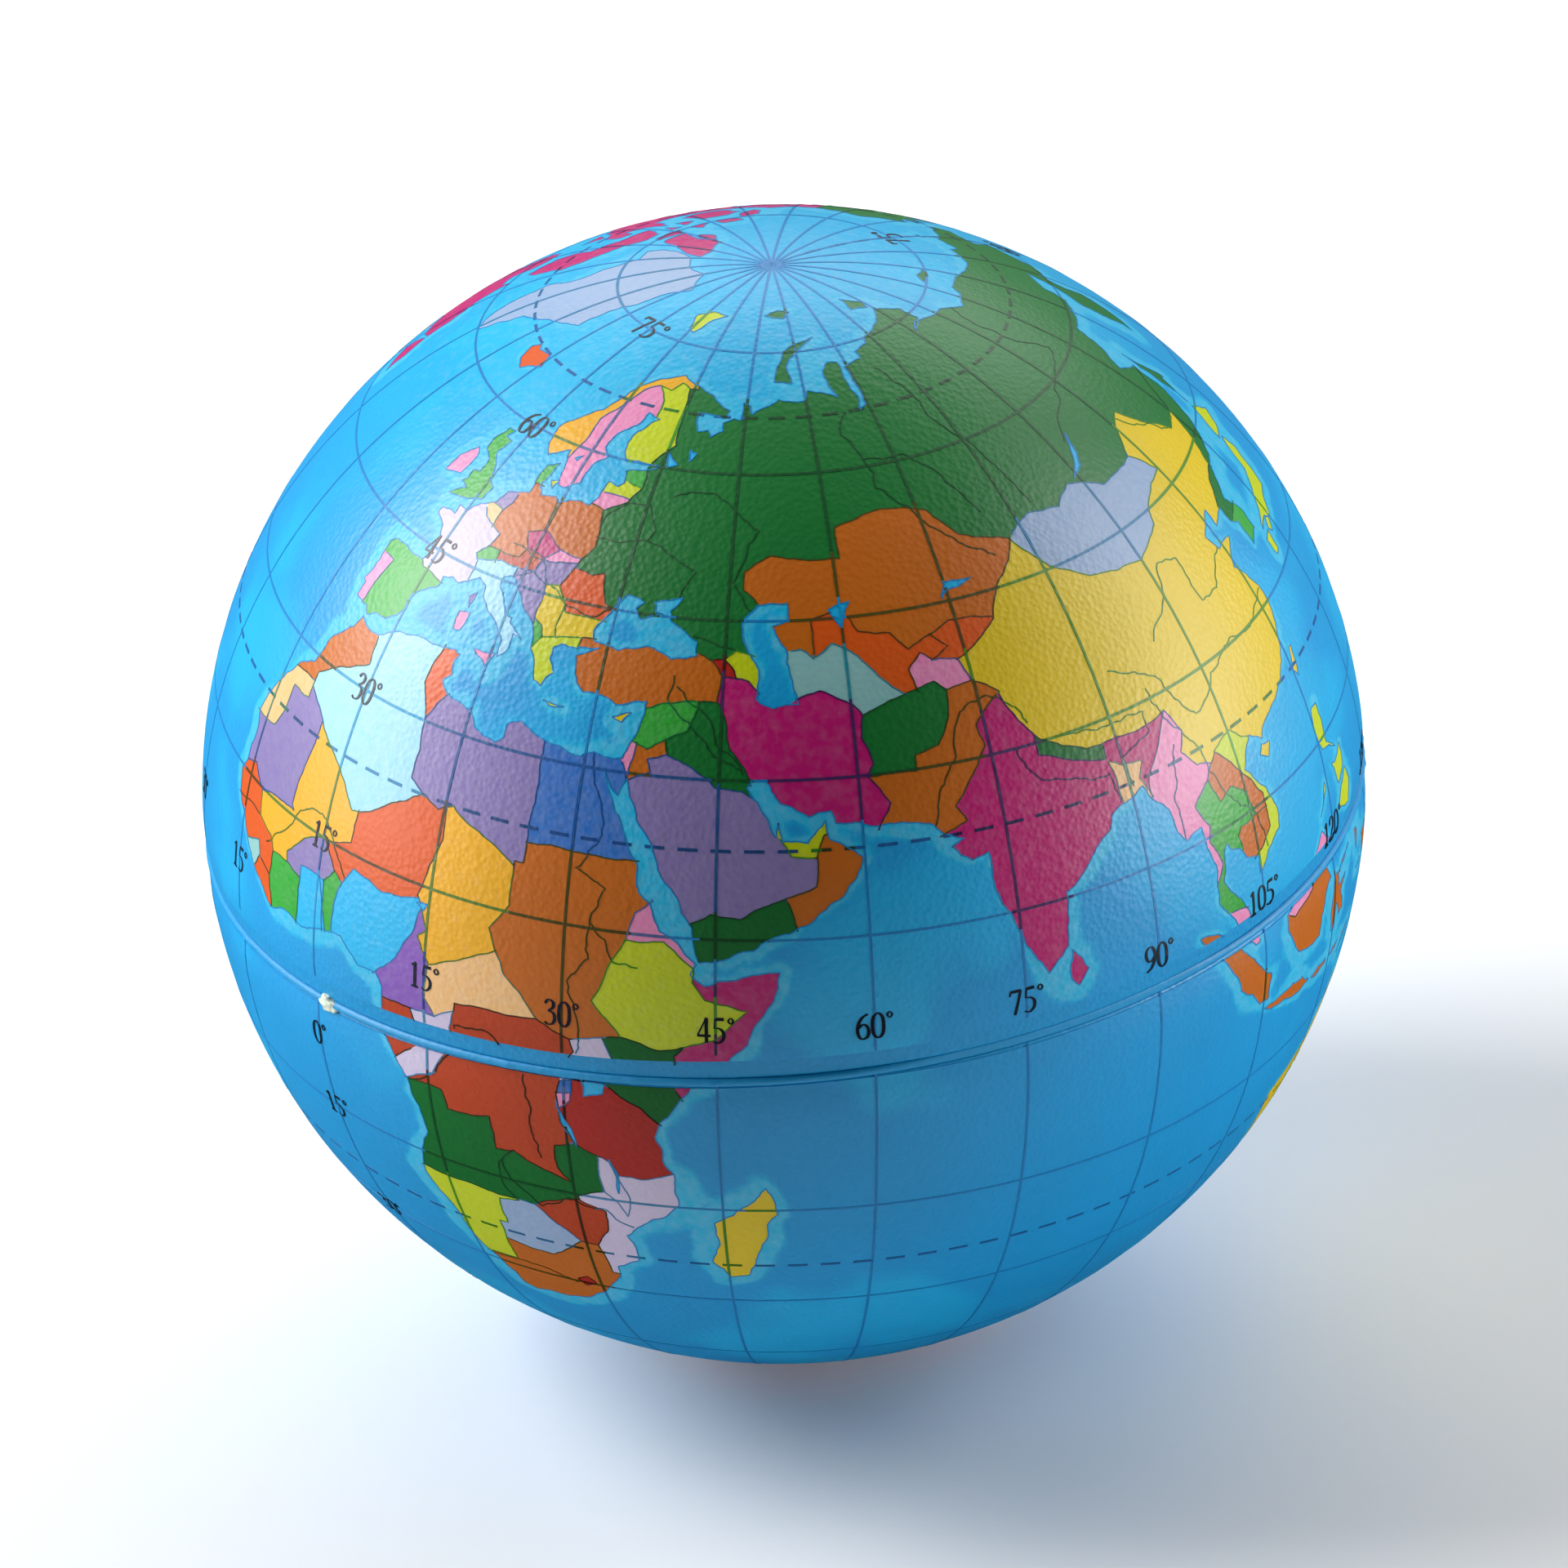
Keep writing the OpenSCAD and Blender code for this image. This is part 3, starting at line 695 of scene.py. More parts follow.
@dataclass(frozen=True)
class BallForm:
    """The shape of the moulded surface: a sphere that swells a little and dips at the seam.

    Attributes:
        radius: nominal radius, in millimetres.
        swells: directions and heights, in millimetres, of the broad swellings.
        dip: depth of the hollow along the seam, in millimetres.
        dip_reach: how far the hollow reaches from the seam, in millimetres.
    """

    radius: float = 31.5
    swells: tuple[tuple[float, float, float, float], ...] = (
        (0.85, 0.20, 0.48, 0.10),
        (-0.30, 0.90, 0.31, -0.12),
        (0.10, -0.45, 0.89, -0.10),
    )
    dip: float = 0.17
    dip_reach: float = 1.15

    def offset(self, towards: np.ndarray) -> np.ndarray:
        """Measures how far the surface stands off the sphere.

        Args:
            towards: unit vectors from the centre.

        Returns:
            Heights in millimetres.
        """
        rise = np.zeros(len(towards))
        for x, y, z, height in self.swells:
            rise += height * ((towards @ np.array([x, y, z])) ** 2 - 0.33)
        away = towards[:, 2] * self.radius / self.dip_reach
        return rise - self.dip * np.exp(-(away**2))

    def settle(self, spots: np.ndarray) -> np.ndarray:
        """Moves points drawn about the plain sphere onto the real form.

        Args:
            spots: points in millimetres.

        Returns:
            The points in metres.
        """
        reach = np.linalg.norm(spots, axis=1)
        towards = spots / np.maximum(reach, 1e-6)[:, None]
        return towards * (reach * (1 + self.offset(towards) / self.radius))[:, None] * MM

    def normals(self, towards: np.ndarray) -> np.ndarray:
        """Finds which way the surface faces.

        Args:
            towards: unit vectors from the centre.

        Returns:
            Unit normals.
        """
        step = 0.002
        lean = np.zeros_like(towards)
        for axis in np.eye(3):
            there = towards + axis * step
            there /= np.linalg.norm(there, axis=1)[:, None]
            back = towards - axis * step
            back /= np.linalg.norm(back, axis=1)[:, None]
            slope = (self.offset(there) - self.offset(back)) / (2 * step)
            lean += slope[:, None] * axis
        out = towards - lean / self.radius
        return out / np.linalg.norm(out, axis=1)[:, None]


def crinkled(
    spots: np.ndarray, wander: float, step: float, dice: random.Random
) -> np.ndarray:
    """Breaks a line on the unit sphere into small uneven steps, as a coast has.

    Args:
        spots: unit vectors along the line.
        wander: sideways wander, as a share of each stretch.
        step: longest stretch that is left, in radians.
        dice: source of the wander.

    Returns:
        The unit vectors of the finer line.
    """
    line = [Vector(spot) for spot in spots]
    while True:
        finer, split = [line[0]], False
        for start, end in zip(line, line[1:]):
            gap = (end - start).length
            if gap > step:
                side = start.cross(end).normalized()
                middle = (start + end) / 2 + side * (dice.uniform(-wander, wander) * gap)
                finer.append(middle.normalized())
                split = True
            finer.append(end)
        line = finer
        if not split:
            return np.array([tuple(spot) for spot in line])


def along(spots: Sequence[LonLat]) -> list[LonLat]:
    """Adds places to a circle of latitude or a meridian so that it keeps its course.

    Args:
        spots: its two ends.

    Returns:
        Places less than a degree apart.
    """
    (lon_a, lat_a), (lon_b, lat_b) = spots
    count = max(2, int(max(abs(lon_b - lon_a), abs(lat_b - lat_a)) / 0.75) + 1)
    return [
        (lon_a + (lon_b - lon_a) * i / (count - 1), lat_a + (lat_b - lat_a) * i / (count - 1))
        for i in range(count)
    ]


def smoothed(points: Sequence[LonLat], steps: int = 5) -> np.ndarray:
    """Runs a smooth curve through points; it is a loop if its ends meet.

    Args:
        points: the points.
        steps: number of steps between two points.

    Returns:
        Points along the curve.
    """
    spots = np.array(points, float)
    loop = np.allclose(spots[0], spots[-1])
    before = spots[-2] if loop else 2 * spots[0] - spots[1]
    after = spots[1] if loop else 2 * spots[-1] - spots[-2]
    held = np.vstack([before, spots, after])
    curve = []
    for a, b, c, d in zip(held, held[1:], held[2:], held[3:]):
        for t in np.arange(steps) / steps:
            bend = 2 * a - 5 * b + 4 * c - d
            curve.append(b + ((c - a) * t + bend * t**2 + (3 * (b - c) + d - a) * t**3) / 2)
    return np.array(curve + [spots[-1]])


@dataclass
class Trace:
    """One line of the map on the unit sphere.

    Attributes:
        stroke: what the line is.
        path: unit vectors along it.
        ink: ink inside a closed outline, if it has one of its own.
    """

    stroke: Stroke
    path: np.ndarray
    ink: Ink | None = None


@dataclass
class Atlas:
    """The political map, cut into triangles on the unit sphere.

    Attributes:
        globe: where places lie on the ball.
        form: the ball's size.
        wander: how crinkled the coasts are.
        calm: how crinkled the borders are beside them.
        step: length of the coasts' steps, in millimetres.
        fine: spacing of points near a coast, in millimetres.
        coarse: spacing of points elsewhere, in millimetres.
        near: how far the fine points reach from a coast, in millimetres.
        north_edge: height of the northern print's edge, in millimetres.
        south_edge: height of the southern print's edge, in millimetres.
        overrun: how far each border runs on past its ends, in millimetres.
        room: clear space that the points keep from every line, in millimetres.
        pole_hole: angle of the hole that the chart leaves at the south pole, in radians.
        pole_clear: angle round the pole that the even points keep out of, in radians.
        pole_points: number of points round the hole.
        majority: part of an outline's edges that an area needs to be inside it.
        rounds: how many times ink spreads into the slivers beside it.
        traces: the lines of the map.
        spots: the cut map's points, as unit vectors.
        faces: the three points of each of its faces.
        inks: the ink of each face, or None on the bare band.
        shore: distance of each point from a coast, in millimetres.
        walls: the lines that lie on each edge.
        seeds: the places that say which ink an area has.
        seed_spots: the seeds at each point.
        tree: finds the face under a direction.
    """

    globe: Globe
    form: BallForm
    wander: float = 0.085
    calm: float = 0.6
    step: float = 0.32
    fine: float = 0.5
    coarse: float = 1.0
    near: float = 2.0
    north_edge: float = 1.25
    south_edge: float = -0.38
    overrun: float = 0.4
    room: float = 0.2
    pole_hole: float = math.radians(1.4)
    pole_clear: float = math.radians(1.62)
    pole_points: int = 16
    majority: float = 0.25
    rounds: int = 4
    traces: list[Trace] = field(default_factory=list)
    spots: np.ndarray = field(default_factory=lambda: np.zeros((0, 3)))
    faces: np.ndarray = field(default_factory=lambda: np.zeros((0, 3), int))
    inks: list[Ink | None] = field(default_factory=list)
    shore: np.ndarray = field(default_factory=lambda: np.zeros(0))
    walls: dict[tuple[int, int], set[int]] = field(default_factory=dict)
    seeds: list[tuple[Ink, LonLat]] = field(default_factory=list)
    seed_spots: dict[int, list[int]] = field(default_factory=dict)
    tree: BVHTree | None = None

    def edge_height(self, turn: np.ndarray, edge: float) -> np.ndarray:
        """Gives the uneven height of a print's edge.

        Args:
            turn: angles round the ball, in radians.
            edge: mean height in millimetres.

        Returns:
            Heights in millimetres.
        """
        return edge + 0.07 * np.sin(3 * turn + 1) + 0.035 * np.sin(11 * turn + edge)

    def in_band(self, towards: np.ndarray) -> np.ndarray:
        """Tells which directions fall on the bare band between the prints.

        Args:
            towards: unit vectors.

        Returns:
            True for each that does.
        """
        turn = np.arctan2(towards[:, 1], towards[:, 0])
        height = towards[:, 2] * self.form.radius
        return (height < self.edge_height(turn, self.north_edge)) & (
            height > self.edge_height(turn, self.south_edge)
        )

    def draw(self) -> None:
        """Traces every line of the map."""
        dice = random.Random(7)
        step = self.step / self.form.radius
        groups = (
            (Stroke.COAST, OLD_WORLD + NEW_WORLD, False, None),
            *((Stroke.COAST, outlines, True, ink) for ink, outlines in ISLANDS.items()),
            (Stroke.COAST, SHARED_ISLANDS, True, None),
            (Stroke.COAST, INLAND_SEAS, True, Ink.SEA),
            (Stroke.SHORE, LAKES, True, Ink.LAKE),
            (Stroke.BORDER, BORDERS, False, None),
        )
        for stroke, texts, closed, ink in groups:
            wander = self.wander * (self.calm if stroke is Stroke.BORDER else 1)
            for text in texts:
                spots = places(text)
                if closed:
                    spots.append(spots[0])
                path = crinkled(self.globe.directions(spots), wander, step, dice)
                if stroke is Stroke.BORDER:
                    path = self.run_on(path)
                self.traces.append(Trace(stroke, path, ink))
        turn = np.linspace(0, 2 * math.pi, 500)
        for edge in (self.north_edge, self.south_edge):
            height = self.edge_height(turn, edge) / self.form.radius
            flat = np.sqrt(1 - height**2)
            ring = np.stack([flat * np.cos(turn), flat * np.sin(turn), height], 1)
            self.traces.append(Trace(Stroke.EDGE, ring))

    def run_on(self, path: np.ndarray) -> np.ndarray:
        """Runs a border on past both its ends, so that it surely crosses what it ends on.

        Args:
            path: unit vectors along it.

        Returns:
            The longer line.
        """
        ends = []
        for end, before in ((path[0], path[2]), (path[-1], path[-3])):
            ahead = (end - before) / np.linalg.norm(end - before)
            spot = end + ahead * self.overrun / self.form.radius
            ends.append(spot / np.linalg.norm(spot))
        return np.concatenate([[ends[0]], path, [ends[1]]])

    def lattice(self, spacing: float) -> np.ndarray:
        """Spreads points evenly over the ball.

        Args:
            spacing: distance between neighbours, in millimetres.

        Returns:
            Unit vectors.
        """
        area = 4 * math.pi * self.form.radius**2
        count = int(area / (spacing**2 * 0.87))
        place = np.arange(count) + 0.5
        height = 1 - 2 * place / count
        turn = place * math.pi * (3 - math.sqrt(5))
        flat = np.sqrt(1 - height**2)
        return np.stack([flat * np.cos(turn), flat * np.sin(turn), height], 1)

    def distances(self, towards: np.ndarray, strokes: Iterable[Stroke]) -> np.ndarray:
        """Measures how far directions are from the nearest line of some kinds.

        Args:
            towards: unit vectors.
            strokes: kinds of line.

        Returns:
            Distances in millimetres.
        """
        wanted = set(strokes)
        lines = np.concatenate([t.path for t in self.traces if t.stroke in wanted])
        tree = KDTree(len(lines))
        for i, spot in enumerate(lines):
            tree.insert(spot, i)
        tree.balance()
        return np.array([tree.find(spot)[2] for spot in towards]) * self.form.radius

    def cut(self) -> None:
        """Cuts the sphere into triangles along every line, on a chart seen from the south pole."""
        points: list[np.ndarray] = []
        edges: list[tuple[int, int]] = []
        edge_trace: list[int] = []
        count = 0
        for number, line in enumerate(self.traces):
            points.append(line.path)
            for i in range(len(line.path) - 1):
                edges.append((count + i, count + i + 1))
                edge_trace.append(number)
            count += len(line.path)
        fine, coarse = self.lattice(self.fine), self.lattice(self.coarse)
        water = (Stroke.COAST,)
        fine = fine[self.distances(fine, water) < self.near]
        coarse = coarse[self.distances(coarse, water) >= self.near]
        for cloud in (fine, coarse):
            clear = self.distances(cloud, Stroke) > self.room
            cloud = cloud[clear & (cloud[:, 2] > -math.cos(self.pole_clear))]
            points.append(cloud)
            count += len(cloud)
        ring = np.linspace(0, 2 * math.pi, self.pole_points, endpoint=False)
        flat, depth = math.sin(self.pole_hole), math.cos(self.pole_hole)
        points.append(
            np.stack([flat * np.cos(ring), flat * np.sin(ring), np.full(len(ring), -depth)], 1)
        )
        seed_start = count + len(ring)
        for ink, text in FILLS.items():
            spots = places(text)
            points.append(self.globe.directions(spots))
            self.seeds += [(ink, spot) for spot in spots]
        all_points = np.concatenate(points)
        chart = all_points[:, :2] / (1 + all_points[:, 2:3])
        made = delaunay_2d_cdt([Vector(p) for p in chart], edges, [], 0, 1e-6, True)
        flat = np.array([tuple(v) for v in made[0]])
        square = (flat**2).sum(1)
        self.spots = np.concatenate(
            [2 * flat / (1 + square)[:, None], ((1 - square) / (1 + square))[:, None]], 1
        )
        self.faces = np.array(made[2])
        self.walls = {
            (min(e), max(e)): {edge_trace[i] for i in names}
            for e, names in zip(made[1], made[4])
            if names
        }
        self.seed_spots = {
            i: [n - seed_start for n in names if n >= seed_start]
            for i, names in enumerate(made[3])
            if any(n >= seed_start for n in names)
        }
        self.close_pole()
        a, b, c = (self.spots[self.faces[:, i]] for i in range(3))
        inward = (np.cross(b - a, c - a) * a).sum(1) < 0
        self.faces[inward] = self.faces[inward][:, ::-1]

    def neighbours(self) -> dict[tuple[int, int], list[int]]:
        """Finds the faces on each edge.

        Returns:
            Face numbers by the edge's two points, the lower one first.
        """
        sides: dict[tuple[int, int], list[int]] = {}
        for number, face in enumerate(self.faces.tolist()):
            for i in range(3):
                pair = (face[i - 1], face[i])
                sides.setdefault((min(pair), max(pair)), []).append(number)
        return sides

    def close_pole(self) -> None:
        """Closes the small hole that the chart leaves at the south pole."""
        rim = [key for key, faces in self.neighbours().items() if len(faces) == 1]
        pole = len(self.spots)
        self.spots = np.concatenate([self.spots, [[0, 0, -1]]])
        self.faces = np.concatenate([self.faces, [(a, b, pole) for a, b in rim]])

    def fill(self) -> None:
        """Floods each closed area with its ink."""
        neighbours = self.neighbours()
        barriers = {
            key
            for key, names in self.walls.items()
            if any(self.traces[n].stroke is not Stroke.EDGE for n in names)
        }
        area = [-1] * len(self.faces)
        links: list[list[int]] = [[] for _ in self.faces]
        for key, pair in neighbours.items():
            if len(pair) == 2 and key not in barriers:
                links[pair[0]].append(pair[1])
                links[pair[1]].append(pair[0])
        total = 0
        for start in range(len(area)):
            if area[start] >= 0:
                continue
            area[start] = total
            queue = [start]
            while queue:
                here = queue.pop()
                for there in links[here]:
                    if area[there] < 0:
                        area[there] = total
                        queue.append(there)
            total += 1
        chosen: dict[int, Ink] = {}
        self.fill_outlines(neighbours, area, chosen)
        touching: dict[int, int] = {}
        for number, face in enumerate(self.faces.tolist()):
            for spot in face:
                if spot in self.seed_spots:
                    touching[spot] = area[number]
        for spot, seeds in self.seed_spots.items():
            for seed in seeds:
                ink, place = self.seeds[seed]
                kept = chosen.setdefault(touching[spot], ink)
                if kept is not ink:
                    log.warning("%s at %s lies in an area of %s", ink, place, kept)
        self.fill_slivers(neighbours, area, chosen)
        self.inks = [chosen.get(region) for region in area]

    def fill_outlines(
        self,
        neighbours: dict[tuple[int, int], list[int]],
        area: list[int],
        chosen: dict[int, Ink],
    ) -> None:
        """Inks the inside of every island and lake.

        Args:
            neighbours: the faces on each edge.
            area: the closed area of each face.
            chosen: the ink of each area, which is added to.
        """
        centres = self.spots[self.faces].mean(1)
        votes: dict[int, dict[int, int]] = {}
        for key, names in self.walls.items():
            for name in names:
                line = self.traces[name]
                if line.ink is None:
                    continue
                middle = line.path.mean(0)
                for face in neighbours[key]:
                    if self.within(line.path, centres[face], middle):
                        tally = votes.setdefault(name, {})
                        tally[area[face]] = tally.get(area[face], 0) + 1
        for name, tally in votes.items():
            best = max(tally.values())
            for region, count in tally.items():
                if count > self.majority * best:
                    chosen[region] = self.traces[name].ink

    @staticmethod
    def within(path: np.ndarray, spot: np.ndarray, middle: np.ndarray) -> bool:
        """Tells whether a direction is inside a closed line.

        Args:
            path: unit vectors along the line.
            spot: the direction.
            middle: a direction in the midst of the line.

        Returns:
            True if it is inside.
        """
        up = middle / np.linalg.norm(middle)
        east = np.cross(up, ASLANT)
        east /= np.linalg.norm(east)
        north = np.cross(up, east)
        x, y = path @ east - spot @ east, path @ north - spot @ north
        x2, y2 = np.roll(x, -1), np.roll(y, -1)
        crossing = (y > 0) != (y2 > 0)
        reach = x + (x2 - x) * (-y) / np.where(y2 == y, 1, y2 - y)
        return bool(np.count_nonzero(crossing & (reach > 0)) % 2)

    def fill_slivers(
        self,
        neighbours: dict[tuple[int, int], list[int]],
        area: list[int],
        chosen: dict[int, Ink],
    ) -> None:
        """Gives every area that has no ink the ink of its longest neighbour.

        Args:
            neighbours: the faces on each edge.
            area: the closed area of each face.
            chosen: the ink of each area, which is added to.
        """
        shared: dict[int, dict[int, float]] = {}
        for (a, b), pair in neighbours.items():
            if len(pair) != 2 or area[pair[0]] == area[pair[1]]:
                continue
            length = float(np.linalg.norm(self.spots[a] - self.spots[b]))
            for here, there in ((pair[0], pair[1]), (pair[1], pair[0])):
                sides = shared.setdefault(area[here], {})
                sides[area[there]] = sides.get(area[there], 0) + length
        for _ in range(self.rounds):
            for region in range(max(area) + 1):
                sides = {r: w for r, w in shared.get(region, {}).items() if r in chosen}
                if sides and region not in chosen:
                    chosen[region] = chosen[max(sides, key=lambda r: sides[r])]

    def finish(self) -> None:
        """Leaves out the band and measures how far each point is from a coast."""
        centres = self.spots[self.faces].mean(1)
        centres /= np.linalg.norm(centres, axis=1)[:, None]
        bare = self.in_band(centres)
        self.inks = [None if out else ink for ink, out in zip(self.inks, bare)]
        self.shore = self.distances(self.spots, (Stroke.COAST,))
        self.tree = BVHTree.FromPolygons(self.spots.tolist(), self.faces.tolist())

    def ink_at(self, towards: np.ndarray) -> Ink | None:
        """Finds the ink under a direction.

        Args:
            towards: a unit vector.

        Returns:
            The ink, or None on the bare band.
        """
        return self.inks[self.tree.find_nearest(towards)[2]]


# Finishes


@dataclass
class Wiring:
    """A node tree that is being wired.

    Attributes:
        tree: the tree.
    """

    tree: bpy.types.NodeTree

    def add(self, kind: str, **settings: object) -> bpy.types.Node:
        """Adds a node.

        Args:
            kind: its type.
            **settings: its properties; ``in_1`` sets the second input, and so on.

        Returns:
            The node.
        """
        node = self.tree.nodes.new(kind)
        for name, value in settings.items():
            if name.startswith("in_"):
                node.inputs[int(name[3:])].default_value = value
            else:
                setattr(node, name, value)
        return node

    def noise(
        self, place: bpy.types.NodeSocket, scale: float, detail: float
    ) -> bpy.types.NodeSocket:
        """Adds a noise texture.

        Args:
            place: where it is looked up.
            scale: its scale.
            detail: its detail.

        Returns:
            Its height.
        """
        texture = self.add("ShaderNodeTexNoise")
        texture.inputs["Scale"].default_value = scale
        texture.inputs["Detail"].default_value = detail
        self.join(place, texture.inputs["Vector"])
        return texture.outputs["Fac"]

    def sum(
        self, start: bpy.types.NodeSocket, share: float, more: bpy.types.NodeSocket
    ) -> bpy.types.NodeSocket:
        """Adds a share of one value to another.

        Args:
            start: the first value.
            share: the share of it.
            more: the value that it is added to.

        Returns:
            The sum.
        """
        both = self.add("ShaderNodeMath", operation="MULTIPLY_ADD", in_1=share)
        self.join(start, both.inputs[0])
        self.join(more, both.inputs[2])
        return both.outputs[0]

    def ramp(
        self, start: bpy.types.NodeSocket, low: float, high: float, first: float, last: float
    ) -> bpy.types.NodeSocket:
        """Adds a soft step from one value to another.

        Args:
            start: the value that it follows.
            low: where it begins.
            high: where it ends.
            first: its value below.
            last: its value above.

        Returns:
            The stepped value.
        """
        step = self.add("ShaderNodeMapRange", interpolation_type="SMOOTHSTEP")
        step.inputs["From Min"].default_value = low
        step.inputs["From Max"].default_value = high
        step.inputs["To Min"].default_value = first
        step.inputs["To Max"].default_value = last
        self.join(start, step.inputs["Value"])
        return step.outputs[0]

    def mottled(self, amount: float) -> bpy.types.Node:
        """Adds the unevenness of a printed ink.

        Args:
            amount: how uneven it is.

        Returns:
            The group, whose colour is still to be set.
        """
        group = self.add("ShaderNodeGroup")
        group.node_tree = bpy.data.node_groups["ink_mottle"]
        group.inputs["Amount"].default_value = amount
        return group

    def join(self, start: bpy.types.NodeSocket, end: bpy.types.NodeSocket) -> None:
        """Links two sockets.

        Args:
            start: the socket that gives.
            end: the socket that takes.
        """
        self.tree.links.new(start, end)


def grain_group() -> bpy.types.NodeTree:
    """Builds the pebble grain of the moulded foam skin.

    Returns:
        A node group with a Scale input and a Height output.
    """
    tree = bpy.data.node_groups.new("pebble_grain", "ShaderNodeTree")
    tree.interface.new_socket("Scale", in_out="INPUT", socket_type="NodeSocketFloat")
    tree.interface.new_socket("Height", in_out="OUTPUT", socket_type="NodeSocketFloat")
    wire = Wiring(tree)
    start, end = wire.add("NodeGroupInput"), wire.add("NodeGroupOutput")
    place = wire.add("ShaderNodeTexCoord").outputs["Object"]
    cells = wire.add("ShaderNodeTexVoronoi", feature="SMOOTH_F1")
    cells.inputs["Smoothness"].default_value = 0.42
    wire.join(start.outputs["Scale"], cells.inputs["Scale"])
    wire.join(place, cells.inputs["Vector"])
    drift = wire.noise(place, 420.0, 2.0)
    wire.join(wire.sum(drift, 0.55, cells.outputs["Distance"]), end.inputs["Height"])
    return tree


def mottle_group() -> bpy.types.NodeTree:
    """Builds the slight unevenness of a printed ink.

    Returns:
        A node group with Colour and Amount inputs and a Colour output.
    """
    tree = bpy.data.node_groups.new("ink_mottle", "ShaderNodeTree")
    tree.interface.new_socket("Colour", in_out="INPUT", socket_type="NodeSocketColor")
    tree.interface.new_socket("Amount", in_out="INPUT", socket_type="NodeSocketFloat")
    tree.interface.new_socket("Colour", in_out="OUTPUT", socket_type="NodeSocketColor")
    wire = Wiring(tree)
    start, end = wire.add("NodeGroupInput"), wire.add("NodeGroupOutput")
    place = wire.add("ShaderNodeTexCoord").outputs["Object"]
    tone = wire.add("ShaderNodeHueSaturation")
    parts = (("Value", 75.0, 3.0, 1.0), ("Saturation", 1900.0, 2.0, 1.08))
    for part, scale, detail, middle in parts:
        spread = wire.add("ShaderNodeMath", operation="SUBTRACT", in_1=0.5)
        wire.join(wire.noise(place, scale, detail), spread.inputs[0])
        gain = wire.add("ShaderNodeMath", operation="MULTIPLY")
        wire.join(spread.outputs[0], gain.inputs[0])
        wire.join(start.outputs["Amount"], gain.inputs[1])
        shift = wire.add("ShaderNodeMath", operation="ADD", in_1=middle)
        wire.join(gain.outputs[0], shift.inputs[0])
        wire.join(shift.outputs[0], tone.inputs[part])
    wire.join(start.outputs["Colour"], tone.inputs["Color"])
    wire.join(tone.outputs["Color"], end.inputs["Colour"])
    return tree


@dataclass(frozen=True)
class Finish:
    """A satin skin with pebble grain, in one ink.

    Attributes:
        name: name of the material.
        colour: linear colour.
        roughness: roughness of the skin.
        gloss: strength of its highlights.
        mottle: unevenness of the ink.
        relief: height of the grain, in millimetres.
        grain: grains in a metre.
    """

    name: str
    colour: Colour
    roughness: float = 0.42
    mottle: float = 0.3
    relief: float = 0.022
    grain: float = 3300.0
    gloss: float = 0.65

    def colour_socket(self, wire: Wiring) -> bpy.types.NodeSocket:
        """Wires the colour.

        Args:
            wire: the material's tree.

        Returns:
            The socket that carries it.
        """
        mottle = wire.mottled(self.mottle)
        mottle.inputs["Colour"].default_value = (*self.colour, 1.0)
        return mottle.outputs["Colour"]

    def build(self) -> bpy.types.Material:
        """Builds the material.

        Returns:
            The material.
        """
        material = bpy.data.materials.new(self.name)
        material.use_nodes = True
        wire = Wiring(material.node_tree)
        shader = material.node_tree.nodes["Principled BSDF"]
        shader.inputs["Roughness"].default_value = self.roughness
        shader.inputs["IOR"].default_value = 1.48
        shader.inputs["Specular IOR Level"].default_value = self.gloss
        wire.join(self.colour_socket(wire), shader.inputs["Base Color"])
        grain = wire.add("ShaderNodeGroup")
        grain.node_tree = bpy.data.node_groups["pebble_grain"]
        grain.inputs["Scale"].default_value = self.grain
        bump = wire.add("ShaderNodeBump")
        bump.inputs["Strength"].default_value = 1.0
        bump.inputs["Distance"].default_value = self.relief * MM
        wire.join(grain.outputs["Height"], bump.inputs["Height"])
        wire.join(bump.outputs["Normal"], shader.inputs["Normal"])
        return material


@dataclass(frozen=True)
class SeaFinish(Finish):
    """The printed sea: pale over the shelves, deep in the basins, and painted paler toward the top
    of the ball as painted light from above.

    Attributes:
        shelf: linear colour beside the coasts.
        rise: linear colour of the ridges of the sea floor.
        painted_top_light: share of the shelf's pale colour painted in at the North Pole, as painted
            light on the top of the ball.
    """

    shelf: Colour = (0.11, 0.52, 0.75)
    # Painted light: how far the sea is painted toward the pale shelf colour at the top of the ball.
    painted_top_light: float = 0.55
    rise: Colour = (0.000, 0.380, 0.730)

    def colour_socket(self, wire: Wiring) -> bpy.types.NodeSocket:
        """Wires the colour.

        Args:
            wire: the material's tree.

        Returns:
            The socket that carries it.
        """
        place = wire.add("ShaderNodeTexCoord").outputs["Object"]
        shore = wire.add("ShaderNodeAttribute", attribute_name="shore").outputs["Fac"]
        height = wire.add("ShaderNodeSeparateXYZ")
        wire.join(place, height.inputs[0])
        ragged, broad = wire.noise(place, 260.0, 4.0), wire.noise(place, 62.0, 3.0)
        swell = wire.sum(broad, 3.6, wire.sum(ragged, 2.4, shore))
        # The paler of the shelf colour and the painted light at the top of the ball.
        pale = wire.add("ShaderNodeMath", operation="MAXIMUM")
        wire.join(wire.ramp(swell, 3.3, 3.75, 0.8, 0.0), pale.inputs[0])
        # Painted light: the sea grows paler from 19 mm to 29 mm above the centre, at the top of the
        # ball.
        wire.join(wire.ramp(height.outputs["Z"], 19 * MM, 29 * MM, 0.0, self.painted_top_light), pale.inputs[1])
        floor, coast = (wire.add("ShaderNodeMix", data_type="RGBA") for _ in range(2))
        floor.inputs[MIX_A].default_value = (*self.colour, 1.0)
        floor.inputs[MIX_B].default_value = (*self.rise, 1.0)
        coast.inputs[MIX_B].default_value = (*self.shelf, 1.0)
        wire.join(wire.ramp(broad, 0.5, 0.6, 0.0, 1.0), floor.inputs[0])
        wire.join(pale.outputs[0], coast.inputs[0])
        wire.join(floor.outputs[MIX_OUT], coast.inputs[MIX_A])
        mottle = wire.mottled(self.mottle)
        wire.join(coast.outputs[MIX_OUT], mottle.inputs["Colour"])
        return mottle.outputs["Colour"]


